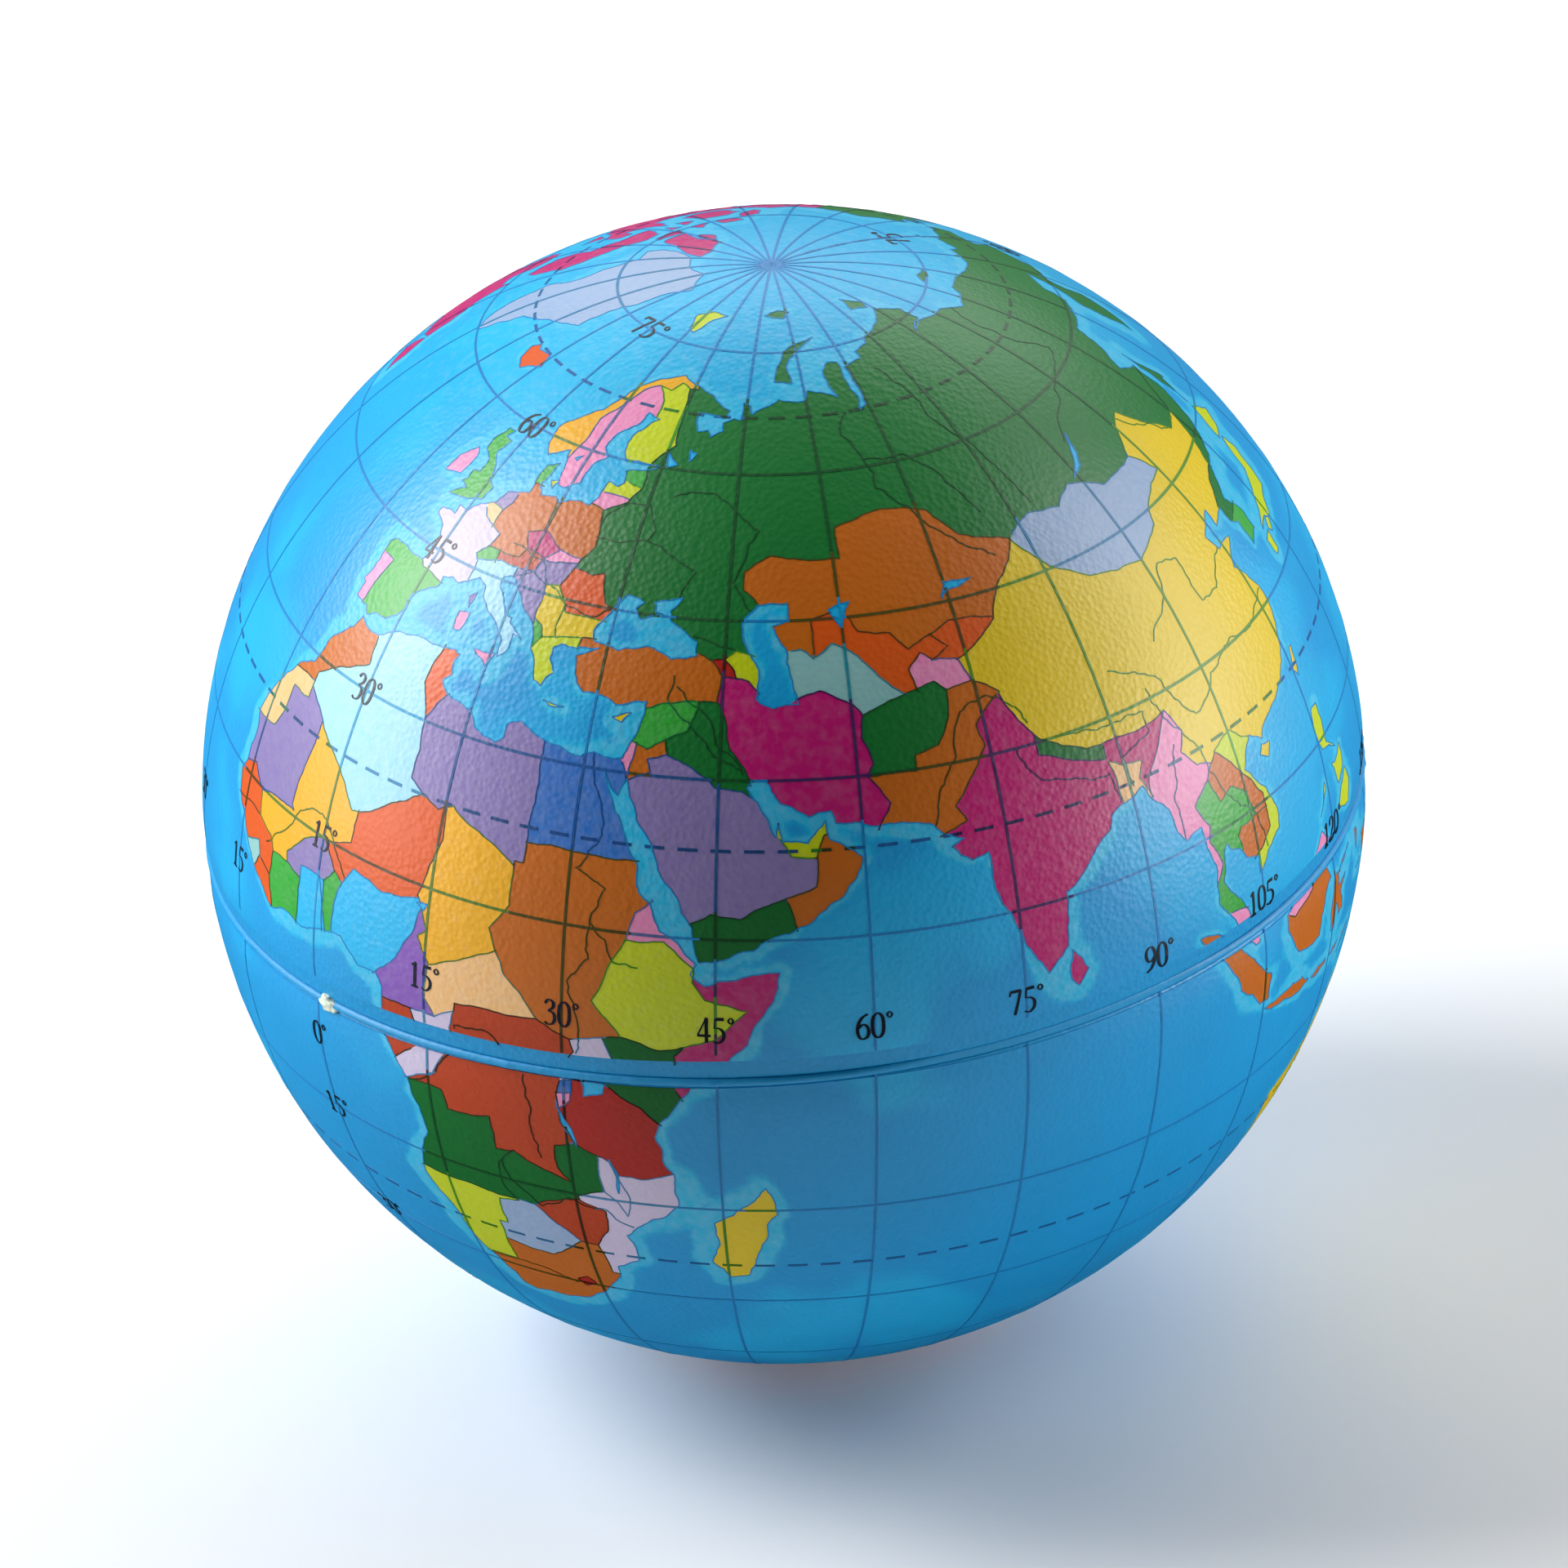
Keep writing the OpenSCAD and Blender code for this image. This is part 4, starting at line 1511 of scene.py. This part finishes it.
@dataclass(frozen=True)
class LineFinish(Finish):
    """Translucent line ink, whose colour follows what it is printed over."""

    def colour_socket(self, wire: Wiring) -> bpy.types.NodeSocket:
        """Wires the colour.

        Args:
            wire: the material's tree.

        Returns:
            The socket that carries it.
        """
        tint = wire.add("ShaderNodeAttribute", attribute_name="tint")
        mottle = wire.mottled(self.mottle)
        wire.join(tint.outputs["Color"], mottle.inputs["Colour"])
        return mottle.outputs["Colour"]


# The pieces


@dataclass(frozen=True)
class Hold:
    """How the pieces are fastened to the ball's body.

    Attributes:
        body: body that they ride on.
        joint: name of the squeeze joint; not used.
        travel: the squeeze's travel, in millimetres; not used.
        radius: the ball's radius, in millimetres; not used.
    """

    body: str = "lower_half"
    joint: str = "squeeze"
    travel: float = 20.0
    radius: float = 31.5

    def fasten(
        self, piece: bpy.types.Object, nodes: Sequence[str]
    ) -> None:
        """Makes a finished piece part of the ball.

        Args:
            piece: the piece.
            nodes: the plain solids that it stands for.
        """
        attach(piece, self.body)
        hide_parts(*nodes)
        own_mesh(piece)
        log.info("%s: %d faces", piece.name, len(piece.data.polygons))


@dataclass
class Bench:
    """Turns drawings in millimetres into finished pieces on the formed ball.

    Attributes:
        form: the moulded surface.
        film: thickness of a printed film, in millimetres.
    """

    form: BallForm
    film: float = 0.1

    def solid(
        self, name: str, bm: bmesh.types.BMesh, material: bpy.types.Material
    ) -> bpy.types.Object:
        """Finishes a closed solid.

        Args:
            name: name of the piece.
            bm: the drawing, which is used up.
            material: its finish.

        Returns:
            The piece.
        """
        spots = np.array([tuple(v.co) for v in bm.verts]).reshape(-1, 3)
        for vert, spot in zip(bm.verts, self.form.settle(spots)):
            vert.co = spot
        mesh = bpy.data.meshes.new(name)
        bm.to_mesh(mesh)
        bm.free()
        mesh.materials.append(material)
        mesh.shade_smooth()
        piece = bpy.data.objects.new(name, mesh)
        bpy.context.scene.collection.objects.link(piece)
        return piece

    def printed(
        self,
        name: str,
        bm: bmesh.types.BMesh,
        material: bpy.types.Material,
        lift: float = 0.0,
        depth: float | None = None,
        shore: Sequence[float] | None = None,
    ) -> bpy.types.Object:
        """Finishes a film of ink, shaded as one with the ball.

        Args:
            name: name of the piece.
            bm: the film on the unit sphere, which is used up.
            material: its finish.
            lift: height of its face off the ball, in millimetres.
            depth: its thickness in millimetres, or None for the usual one.
            shore: distance of each vertex from a coast, in millimetres.

        Returns:
            The piece.
        """
        depth = self.film if depth is None else depth
        if shore is not None:
            layer = bm.verts.layers.float.new("shore")
            for vert, far in zip(bm.verts, shore):
                vert[layer] = far
        bmesh.ops.scale(bm, vec=Vector((1, 1, 1)) * (self.form.radius + lift), verts=bm.verts[:])
        bm.normal_update()
        turned = [f for f in bm.faces if f.normal.dot(f.calc_center_median()) < 0]
        bmesh.ops.reverse_faces(bm, faces=turned)
        bmesh.ops.solidify(bm, geom=bm.faces[:], thickness=depth)
        reach = np.array([v.co.length for v in bm.verts])
        piece = self.solid(name, bm, material)
        mesh = piece.data
        outer = reach > self.form.radius + lift - depth / 2
        spots = np.empty(len(mesh.vertices) * 3)
        mesh.vertices.foreach_get("co", spots)
        towards = spots.reshape(-1, 3)
        towards = towards / np.linalg.norm(towards, axis=1)[:, None]
        facing = self.form.normals(towards)
        corner = np.empty(len(mesh.loops), int)
        mesh.loops.foreach_get("vertex_index", corner)
        first = np.empty(len(mesh.polygons), int)
        mesh.polygons.foreach_get("loop_start", first)
        sizes = np.empty(len(mesh.polygons), int)
        mesh.polygons.foreach_get("loop_total", sizes)
        flat = np.empty(len(mesh.polygons) * 3)
        mesh.polygons.foreach_get("normal", flat)
        flat = flat.reshape(-1, 3)
        owner = np.repeat(np.arange(len(sizes)), sizes)
        out_count = np.add.reduceat(outer[corner].astype(int), first)
        top, under = (out_count == sizes)[owner], (out_count == 0)[owner]
        normals = flat[owner]
        normals[top] = facing[corner][top]
        normals[under] = -facing[corner][under]
        mesh.normals_split_custom_set(normals.tolist())
        return piece


@dataclass
class Ribbons:
    """Thin printed lines, laid on the unit sphere.

    Attributes:
        radius: the ball's radius, in millimetres.
        filter: what the line's translucent ink leaves of the colour under it.
        bm: the lines laid so far.
    """

    radius: float
    filter: Colour = (0.09, 0.40, 0.56)
    bm: bmesh.types.BMesh = field(default_factory=bmesh.new)

    def __post_init__(self) -> None:
        """Makes the layer that holds each line's colour."""
        self.tint = self.bm.verts.layers.float_color.new("tint")

    def lay(
        self, path: np.ndarray, width: float | np.ndarray, under: Ink, depth: float = 1.0
    ) -> None:
        """Lays one line.

        Args:
            path: unit vectors along it.
            width: its width in millimetres, the same all along or one for each point.
            under: the ink that it is printed over.
            depth: strength of the line's ink.
        """
        if len(path) < 2:
            return
        ahead = np.roll(path, -1, 0) - np.roll(path, 1, 0)
        ahead[0], ahead[-1] = path[1] - path[0], path[-1] - path[-2]
        side = np.cross(ahead, path)
        side /= np.maximum(np.linalg.norm(side, axis=1), 1e-9)[:, None]
        steps = len(path) - 1
        widths = np.broadcast_to(width, len(path))
        made = bmesh.ops.create_grid(self.bm, x_segments=1, y_segments=steps, size=1.0)
        for vert in made["verts"]:
            i = round((vert.co.y + 1) / 2 * steps)
            offset = side[i] * (widths[i] / 2 / self.radius) * (1 if vert.co.x > 0 else -1)
            vert.co = Vector(path[i] + offset).normalized()
            kept = [c * f**depth for c, f in zip(under.value, self.filter)]
            vert[self.tint] = (*kept, 1.0)


@dataclass
class MapPrint:
    """The printed globe: the inks, the coasts, the rivers, the grid and its numbers.

    Attributes:
        atlas: the cut map.
        bench: where the films are finished.
        coast_width: width of the coasts' outlines, in millimetres.
        border_width: width of the borders, in millimetres.
        river_width: width of the rivers, in millimetres.
        grid_width: width of the grid's lines over the sea, in millimetres.
        dash_width: width of the dashes, in millimetres.
        grid_step: spacing of the grid, in degrees.
        aside: how far to the side of a border its ink is looked up, in millimetres.
        line_depth: thickness of the lines' film, in millimetres.
        row: latitude of the numbers beside the seam.
        numeral: height of the numbers, in millimetres.
        pitch: width that a digit takes, as a share of its height.
        thin: width of a digit's thin strokes, as a share of its height.
        thick: width of its thick strokes, as a share of its height.
    """

    atlas: Atlas
    bench: Bench
    coast_width: float = 0.07
    border_width: float = 0.07
    river_width: float = 0.08
    grid_width: float = 0.13
    dash_width: float = 0.17
    grid_step: int = 15
    aside: float = 0.12
    line_depth: float = 0.05
    row: float = 6.0
    numeral: float = 1.45
    pitch: float = 0.54
    thin: float = 0.045
    thick: float = 0.125

    def films(self) -> dict[str, bpy.types.Object]:
        """Makes one film for each ink, and two for the sea.

        Returns:
            The pieces by name.
        """
        pieces = {}
        atlas = self.atlas
        centres = atlas.spots[atlas.faces].mean(1)
        for ink in Ink:
            for half, wanted in self.halves(ink, centres):
                faces = atlas.faces[wanted & np.array([i is ink for i in atlas.inks])]
                if not len(faces):
                    continue
                used, places_in = np.unique(faces, return_inverse=True)
                bm = bmesh.new()
                verts = [bm.verts.new(atlas.spots[i]) for i in used]
                for a, b, c in places_in.reshape(-1, 3):
                    bm.faces.new((verts[a], verts[b], verts[c]))
                name = f"print_{ink.name.lower()}{half}"
                sea = ink is Ink.SEA
                finish = SeaFinish(name, ink.value, mottle=0.25) if sea else Finish(name, ink.value)
                shore = atlas.shore[used] if sea else None
                pieces[name] = self.bench.printed(name, bm, finish.build(), shore=shore)
        return pieces

    @staticmethod
    def halves(ink: Ink, centres: np.ndarray) -> list[tuple[str, np.ndarray]]:
        """Splits the sea into its two prints; the other inks stay whole.

        Args:
            ink: the ink.
            centres: the middles of the faces.

        Returns:
            The end of each piece's name, and which faces are in it.
        """
        if ink is Ink.SEA:
            return [("_north", centres[:, 2] > 0), ("_south", centres[:, 2] <= 0)]
        return [("", np.full(len(centres), True))]

    def runs(self, path: np.ndarray, aside: float = 0.0) -> Iterable[tuple[Ink, np.ndarray]]:
        """Splits a line where the ink under it changes, and leaves out the bare band.

        Args:
            path: unit vectors along the line.
            aside: how far to the side of the line the ink is looked up, in millimetres.

        Yields:
            The ink, and the stretch of the line.
        """
        look = path
        if aside:
            ahead = np.gradient(path, axis=0)
            side = np.cross(ahead, path)
            side /= np.maximum(np.linalg.norm(side, axis=1), 1e-9)[:, None]
            look = path + side * aside / self.atlas.form.radius
        inks = [self.atlas.ink_at(Vector(spot)) for spot in look]
        start = 0
        for i in range(1, len(path) + 1):
            if i == len(path) or inks[i] is not inks[start]:
                if inks[start] is not None:
                    yield inks[start], path[start : min(i + 1, len(path))]
                start = i

    def line_work(self) -> bpy.types.Object:
        """Makes every line in the translucent blue: coasts, borders, rivers, grid and dashes.

        Returns:
            The piece.
        """
        radius, globe = self.atlas.form.radius, self.atlas.globe
        lines = Ribbons(radius)
        for trace in self.atlas.traces:
            if trace.stroke in (Stroke.COAST, Stroke.SHORE):
                for _, run in self.runs(trace.path):
                    lines.lay(run, self.coast_width, Ink.SEA, 0.4)
            if trace.stroke is Stroke.BORDER:
                for ink, run in self.runs(trace.path[1:-1], self.aside):
                    if ink is not Ink.SEA:
                        lines.lay(run, self.border_width, ink)
        dice = random.Random(11)
        for text in RIVERS:
            spots = globe.directions(places(text))
            for ink, run in self.runs(crinkled(spots, 0.12, 0.35 / radius, dice)):
                if ink not in (Ink.SEA, Ink.LAKE):
                    lines.lay(run, self.river_width, ink)
        for course in self.courses():
            for ink, run in self.runs(globe.directions(course)):
                wide, strong = (1.0, 0.5) if ink in (Ink.SEA, Ink.LAKE) else (1.2, 0.85)
                lines.lay(run, self.grid_width * wide, ink, strong)
        for dash in self.dashes():
            for ink, run in self.runs(globe.directions(dash)):
                lines.lay(run, self.dash_width, ink, 1.3)
        finish = LineFinish("line_ink", (0, 0, 0), mottle=0.4)
        return self.bench.printed("print_lines", lines.bm, finish.build(), 0.014, self.line_depth)

    def courses(self) -> Iterable[list[LonLat]]:
        """Lays out the meridians and the parallels of the grid.

        Yields:
            The places along each.
        """
        for lon in range(-180, 180, self.grid_step):
            yield along([(lon, -89.9), (lon, 89.9)])
        for lat in range(-75, 90, self.grid_step):
            if lat:
                yield along([(-180, lat), (180, lat)])

    def dashes(self) -> Iterable[list[LonLat]]:
        """Lays out the dashes of the tropics, the polar circles and the date line.

        Yields:
            The places along each.
        """
        for lat, gap in ((-66.5, 6.4), (-23.4, 3.4), (23.4, 3.4), (66.5, 6.4)):
            for lon in np.arange(-180, 180, gap):
                yield along([(lon, lat), (lon + gap * 0.6, lat)])
        for lat in np.arange(-84, 86, 3.0):
            yield along([(180, lat), (180, lat + 1.8)])

    def write(self, lines: Ribbons, text: str, spot: LonLat) -> None:
        """Prints a number on the ball, upright on its meridian, with thick downstrokes.

        Args:
            lines: the lines that it is added to.
            text: the number.
            spot: longitude and latitude of its middle, in degrees.
        """
        globe, size = self.atlas.globe, self.numeral
        lon, lat = spot
        middle, beyond = globe.directions([spot, (lon, lat + 0.5)])
        east = np.cross(beyond - middle, middle)
        east /= np.linalg.norm(east)
        north = np.cross(middle, east)
        start = -self.pitch * (len(text) - 0.5) / 2
        for place, sign in enumerate(text):
            for weight, points in DIGITS[sign]:
                curve = smoothed(places(points))
                ahead = np.gradient(curve, axis=0)
                upright = np.abs(ahead[:, 1]) / np.linalg.norm(ahead, axis=1)
                width = (self.thin + (self.thick - self.thin) * upright**1.5) * weight
                flat = (curve + (start + place * self.pitch, -0.5)) * size / lines.radius
                path = middle + flat[:, :1] * east + flat[:, 1:] * north
                path /= np.linalg.norm(path, axis=1)[:, None]
                lines.lay(path, width * size, Ink.SEA)

    def numbers(self) -> bpy.types.Object:
        """Makes the degree numbers of the grid.

        Returns:
            The piece.
        """
        lines = Ribbons(self.atlas.form.radius)
        for lon in range(-180, 180, self.grid_step):
            self.write(lines, f"{abs(lon)}°", (lon, self.row if lon else -self.row - 0.2))
        for lat in range(15, 90, self.grid_step):
            for lon in (0, 180):
                self.write(lines, f"{lat}°", (lon, lat))
                self.write(lines, f"{lat}°", (lon, -lat))
        finish = Finish("number_ink", (0.004, 0.012, 0.028), mottle=0.4)
        return self.bench.printed("print_numbers", lines.bm, finish.build(), 0.022, self.line_depth)

    def make(self, hold: Hold) -> None:
        """Makes and fastens the whole print.

        Args:
            hold: how pieces are fastened.
        """
        for piece in (*self.films().values(), self.line_work(), self.numbers()):
            hold.fasten(piece, ("north_print", "south_print"))


@dataclass
class Seam:
    """The bare band round the ball, with the two skins, the raised bead and the gate scar.

    Attributes:
        form: the moulded surface.
        bench: where the pieces are finished.
        globe: where places lie on the ball.
        skin: thickness of the skins, in millimetres.
        bare: depth of the band's face, in millimetres.
        covered: depth of the skins' face under the print, in millimetres.
        shown: how far the band's face reaches north and south, in millimetres.
        play: gap between a skin's lip and the bead, in millimetres.
        bead_half: half the bead's height, in millimetres.
        bead_root: depth of the bead's foot, in millimetres.
        bead_proud: how far the bead stands out, in millimetres.
        bead_least: part of its height that the bead keeps where it fades.
        fade_lon: longitude where it fades most.
        fade_reach: how far from there it fades, in degrees.
        gate_size: half the gate scar's depth, width and height, in millimetres.
        gate_lon: longitude of the gate.
        steps: number of steps round the ball.
        colour: linear colour of the bare band.
    """

    form: BallForm
    bench: Bench
    globe: Globe
    skin: float = 1.2
    bare: float = 0.035
    covered: float = 0.16
    shown: tuple[float, float] = (2.2, 0.8)
    play: float = 0.03
    bead_half: float = 0.24
    bead_root: float = 0.08
    bead_proud: float = 0.27
    bead_least: float = 0.17
    fade_lon: float = 78.0
    fade_reach: float = 17.0
    gate_size: tuple[float, float, float] = (0.30, 0.68, 0.46)
    gate_lon: float = 0.0
    steps: int = 720
    colour: Colour = (0.000, 0.290, 0.630)

    def spun(self, profile: Sequence[tuple[float, float]]) -> bmesh.types.BMesh:
        """Spins a closed profile round the ball's axis.

        Args:
            profile: distances from the axis and heights, in millimetres.

        Returns:
            The solid.
        """
        bm = bmesh.new()
        verts = [bm.verts.new((x, 0, z)) for x, z in profile]
        edges = [bm.edges.new((a, b)) for a, b in zip(verts, verts[1:])]
        if profile[0][0] > 0:
            edges.append(bm.edges.new((verts[-1], verts[0])))
        bmesh.ops.spin(
            bm,
            geom=verts + edges,
            axis=(0, 0, 1),
            cent=(0, 0, 0),
            angle=2 * math.pi,
            steps=self.steps,
            use_merge=True,
        )
        bmesh.ops.remove_doubles(bm, verts=bm.verts[:], dist=0.0005)
        bmesh.ops.recalc_face_normals(bm, faces=bm.faces[:])
        return bm

    def half_skin(self, sign: int) -> bpy.types.Object:
        """Makes the dense skin of one half; it shows only on the band.

        Args:
            sign: 1 for the north, -1 for the south.

        Returns:
            The piece.
        """
        radius = self.form.radius
        bare, covered = radius - self.bare, radius - self.covered
        profile = [(0.0, covered)]
        shown = self.shown[0 if sign > 0 else 1]
        start = math.pi / 2 - shown / radius
        for turn in np.linspace(0.04, start, 30):
            profile.append((covered * math.sin(turn), covered * math.cos(turn)))
        low = self.bead_half + self.play
        height = shown - 0.15
        while height > low:
            profile.append((math.sqrt(bare**2 - height**2), height))
            height -= 0.12
        lip = ((0.0, low), (0.04, low - 0.02), (0.5, low - 0.02), (self.skin - 0.1, 0.04))
        for depth, z in lip:
            profile.append((bare - depth - 0.02, z))
        inner = radius - self.skin
        for turn in np.linspace(math.pi / 2 - 0.01, 0.04, 20):
            profile.append((inner * math.sin(turn), inner * math.cos(turn)))
        profile.append((0.0, inner))
        bm = self.spun([(x, z * sign) for x, z in profile])
        name = "north_skin_foam" if sign > 0 else "south_skin_foam"
        finish = Finish(f"{name}_finish", self.colour, mottle=0.3, relief=0.035)
        return self.bench.solid(name, bm, finish.build())

    def bead_strength(self, turn: float) -> float:
        """Gives the bead's height round the ball, as a share of its full height.

        Args:
            turn: direction round the ball, in radians from +X.

        Returns:
            The share.
        """
        lon = (math.degrees(turn) + 90 + self.globe.front) % 360
        fade = 1 - math.exp(-(((lon - self.fade_lon) / self.fade_reach) ** 4))
        wave = 0.86 + 0.14 * noise.noise(Vector((math.cos(turn), math.sin(turn), 0)) * 4)
        return max(self.bead_least, fade * wave)

    def bead(self) -> bpy.types.Object:
        """Makes the raised bead, low in some places and with small nibs of flash.

        Returns:
            The piece.
        """
        radius, half = self.form.radius, self.bead_half
        root = radius - self.bead_root
        profile = [(radius - 0.9, -half)]
        for turn in np.linspace(-math.pi / 2, math.pi / 2, 11):
            profile.append((root + self.bead_proud * math.cos(turn), half * math.sin(turn)))
        profile.append((radius - 0.9, half))
        bm = self.spun(profile)
        for vert in bm.verts:
            reach = math.hypot(vert.co.x, vert.co.y)
            if reach > root + 0.001:
                turn = math.atan2(vert.co.y, vert.co.x)
                share = self.bead_strength(turn)
                nib = noise.noise(Vector((math.cos(turn), math.sin(turn), 0.3)) * 38)
                share += max(0.0, nib - 0.45) * 1.2
                grown = root + (reach - root) * share
                vert.co.x *= grown / reach
                vert.co.y *= grown / reach
        finish = Finish("bead_finish", (0.000, 0.285, 0.610), 0.5, relief=0.02)
        return self.bench.solid("seam_bead_ring", bm, finish.build())

    def gate(self) -> bpy.types.Object:
        """Makes the torn scar where the filling gate was trimmed.

        Returns:
            The piece.
        """
        bm = bmesh.new()
        bmesh.ops.create_icosphere(bm, subdivisions=4, radius=1.0)
        for vert in bm.verts:
            lump = noise.fractal(vert.co * 1.7, 1.0, 2.0, 3)
            vert.co *= 1 + 0.35 * lump
        bmesh.ops.scale(bm, vec=self.gate_size, verts=bm.verts[:])
        turn = math.radians(self.gate_lon - self.globe.front - 90)
        bmesh.ops.translate(bm, vec=(self.form.radius - 0.02, 0, -0.05), verts=bm.verts[:])
        bmesh.ops.rotate(bm, verts=bm.verts[:], matrix=Matrix.Rotation(turn, 3, "Z"))
        finish = Finish("torn_foam", (0.62, 0.70, 0.60), 0.6, 0.5, 0.08, 2600.0)
        return self.bench.solid("gate_scar", bm, finish.build())

    def make(self, hold: Hold) -> None:
        """Makes and fastens the seam's pieces.

        Args:
            hold: how pieces are fastened.
        """
        hold.fasten(self.half_skin(1), ("north_skin",))
        hold.fasten(self.half_skin(-1), ("south_skin",))
        hold.fasten(self.bead(), ("seam_bead",))
        hold.fasten(self.gate(), ("gate_plug",))


@dataclass
class Core:
    """The soft open foam inside the skins.

    Attributes:
        form: the moulded surface.
        bench: where the piece is finished.
        gap: depth of the core's face below the ball's, in millimetres.
        pores: pores in a millimetre.
        pore_depth: depth of the deepest pores, in millimetres.
    """

    form: BallForm
    bench: Bench
    gap: float = 1.3
    pores: float = 0.9
    pore_depth: float = 0.12

    def make(self, hold: Hold) -> None:
        """Makes and fastens the core, with the shallow pores of its face.

        Args:
            hold: how pieces are fastened.
        """
        bm = bmesh.new()
        bmesh.ops.create_icosphere(bm, subdivisions=6, radius=self.form.radius - self.gap)
        for vert in bm.verts:
            pore = noise.cell(vert.co * self.pores)
            vert.co -= vert.co.normalized() * (self.pore_depth * pore)
        axes = dict.fromkeys(("use_axis_x", "use_axis_y", "use_axis_z"), True)
        bmesh.ops.smooth_vert(bm, verts=bm.verts[:], factor=0.5, **axes)
        finish = Finish("open_cell_foam", (0.35, 0.55, 0.62), 0.85, 0.6, 0.2, 1400.0)
        piece = self.bench.solid("open_foam_core", bm, finish.build())
        hold.fasten(piece, ("foam_core",))


@dataclass
class Studio:
    """The camera, the soft lights and the pale floor.

    Attributes:
        radius: the ball's radius, in metres.
        elevation: camera's height above the horizon, in degrees.
        roll: camera's turn about its own axis, in degrees.
        distance: camera's distance from the ball's centre, in radii.
        share: the ball's share of the picture's width.
        reach: distance of the soft lights, in metres.
        floor_half: half the floor's width, in metres.
        glow: strength of the light behind the ball.
        behind: direction of that light.
    """

    radius: float
    elevation: float = 29.0
    roll: float = 4.9
    distance: float = 15.0
    share: float = 0.74
    reach: float = 0.55
    floor_half: float = 3.0
    glow: float = 2.8
    behind: tuple[float, float, float] = (0.0, 0.8, 0.6)

    def camera(self) -> bpy.types.Object:
        """Makes the camera.

        Returns:
            The camera.
        """
        data = bpy.data.cameras.new("camera")
        half = math.asin(1 / self.distance)
        data.lens = data.sensor_width * self.share / 2 / math.tan(half)
        camera = bpy.data.objects.new("camera", data)
        up = math.radians(self.elevation)
        back = Vector((0, -math.cos(up), math.sin(up)))
        camera.location = back * self.radius * self.distance
        aim = (-back).to_track_quat("-Z", "Y").to_matrix().to_4x4()
        turn = Matrix.Rotation(-math.radians(self.roll), 4, "Z")
        camera.matrix_world = Matrix.Translation(camera.location) @ aim @ turn
        data.clip_start, data.clip_end = 0.01, 20
        bpy.context.scene.collection.objects.link(camera)
        bpy.context.scene.camera = camera
        return camera

    def softbox(
        self, name: str, seen: Vector, view: Matrix, size: tuple[float, float], power: float
    ) -> None:
        """Hangs a soft light.

        Args:
            name: its name.
            seen: its direction from the ball, in the camera's own directions.
            view: the camera's turn.
            size: its width and height, in metres.
            power: its power in watts.
        """
        data = bpy.data.lights.new(name, "AREA")
        data.shape, data.size, data.size_y, data.energy = "RECTANGLE", *size, power
        light = bpy.data.objects.new(name, data)
        away = view @ seen.normalized()
        light.location = away * self.reach
        light.rotation_mode = "QUATERNION"
        light.rotation_quaternion = away.to_track_quat("Z", "Y")
        bpy.context.scene.collection.objects.link(light)

    def floor(self) -> None:
        """Makes the pale floor."""
        bm = bmesh.new()
        bmesh.ops.create_grid(bm, x_segments=8, y_segments=8, size=self.floor_half)
        bmesh.ops.translate(bm, vec=(0, 0, -self.radius - 0.0002), verts=bm.verts[:])
        mesh = bpy.data.meshes.new("studio_floor")
        bm.to_mesh(mesh)
        bm.free()
        material = bpy.data.materials.new("pale_paper")
        material.use_nodes = True
        shader = material.node_tree.nodes["Principled BSDF"]
        shader.inputs["Base Color"].default_value = (0.90, 0.90, 0.90, 1)
        shader.inputs["Roughness"].default_value = 0.7
        mesh.materials.append(material)
        floor = bpy.data.objects.new("studio_floor", mesh)
        bpy.context.scene.collection.objects.link(floor)
        floor.visible_glossy = False
        floor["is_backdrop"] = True

    def make(self) -> None:
        """Sets up the whole studio."""
        camera = self.camera()
        view = camera.matrix_world.to_3x3()
        for name, seen, size, power in (
            ("left_softbox", (-0.82, 0.54, 0.155), (0.26, 0.36), 3.8),
            ("right_softbox", (0.92, 0.38, 0.02), (0.30, 0.34), 1.2),
            ("sheen_softbox", (0.734, 0.658, 0.17), (0.16, 0.20), 0.45),
            ("low_left_softbox", (-0.97, -0.04, 0.12), (0.30, 0.20), 0.9),
            ("low_right_softbox", (0.96, -0.05, 0.14), (0.30, 0.20), 2.3),
            ("top_softbox", (0.10, 0.93, -0.35), (0.60, 0.30), 1.5),
        ):
            self.softbox(name, Vector(seen), view, size, power)
        self.floor()
        self.air()
        bpy.context.scene.view_settings.view_transform = "Standard"

    def air(self) -> None:
        """Lights the room behind the ball, and leaves it dark round the camera."""
        world = bpy.data.worlds.new("studio_air")
        world.use_nodes = True
        wire = Wiring(world.node_tree)
        towards = wire.add("ShaderNodeTexCoord")
        facing = wire.add("ShaderNodeVectorMath", operation="DOT_PRODUCT")
        facing.inputs[1].default_value = self.behind
        wire.join(towards.outputs["Generated"], facing.inputs[0])
        glow = wire.ramp(facing.outputs["Value"], 0.30, 0.85, 0.0, self.glow)
        wire.join(glow, world.node_tree.nodes["Background"].inputs["Strength"])
        bpy.context.scene.world = world


def main() -> None:
    """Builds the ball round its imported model, and the studio round the ball."""
    logging.basicConfig(level=logging.INFO, format="%(name)s %(message)s")
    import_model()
    cad_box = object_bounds()
    form = BallForm()
    globe = Globe()
    bench = Bench(form)
    hold = Hold(radius=form.radius)
    Studio(form.radius * MM).make()
    grain_group()
    mottle_group()
    atlas = Atlas(globe, form)
    atlas.draw()
    atlas.cut()
    atlas.fill()
    atlas.finish()
    log.info("map: %d points, %d faces", len(atlas.spots), len(atlas.faces))
    Core(form, bench).make(hold)
    Seam(form, bench, globe).make(hold)
    MapPrint(atlas, bench).make(hold)
    boxes = {"cad": cad_box, "visual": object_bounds()}
    {name: [list(corner) for corner in box] for name, box in boxes.items()}


if __name__ == "__main__":
    main()
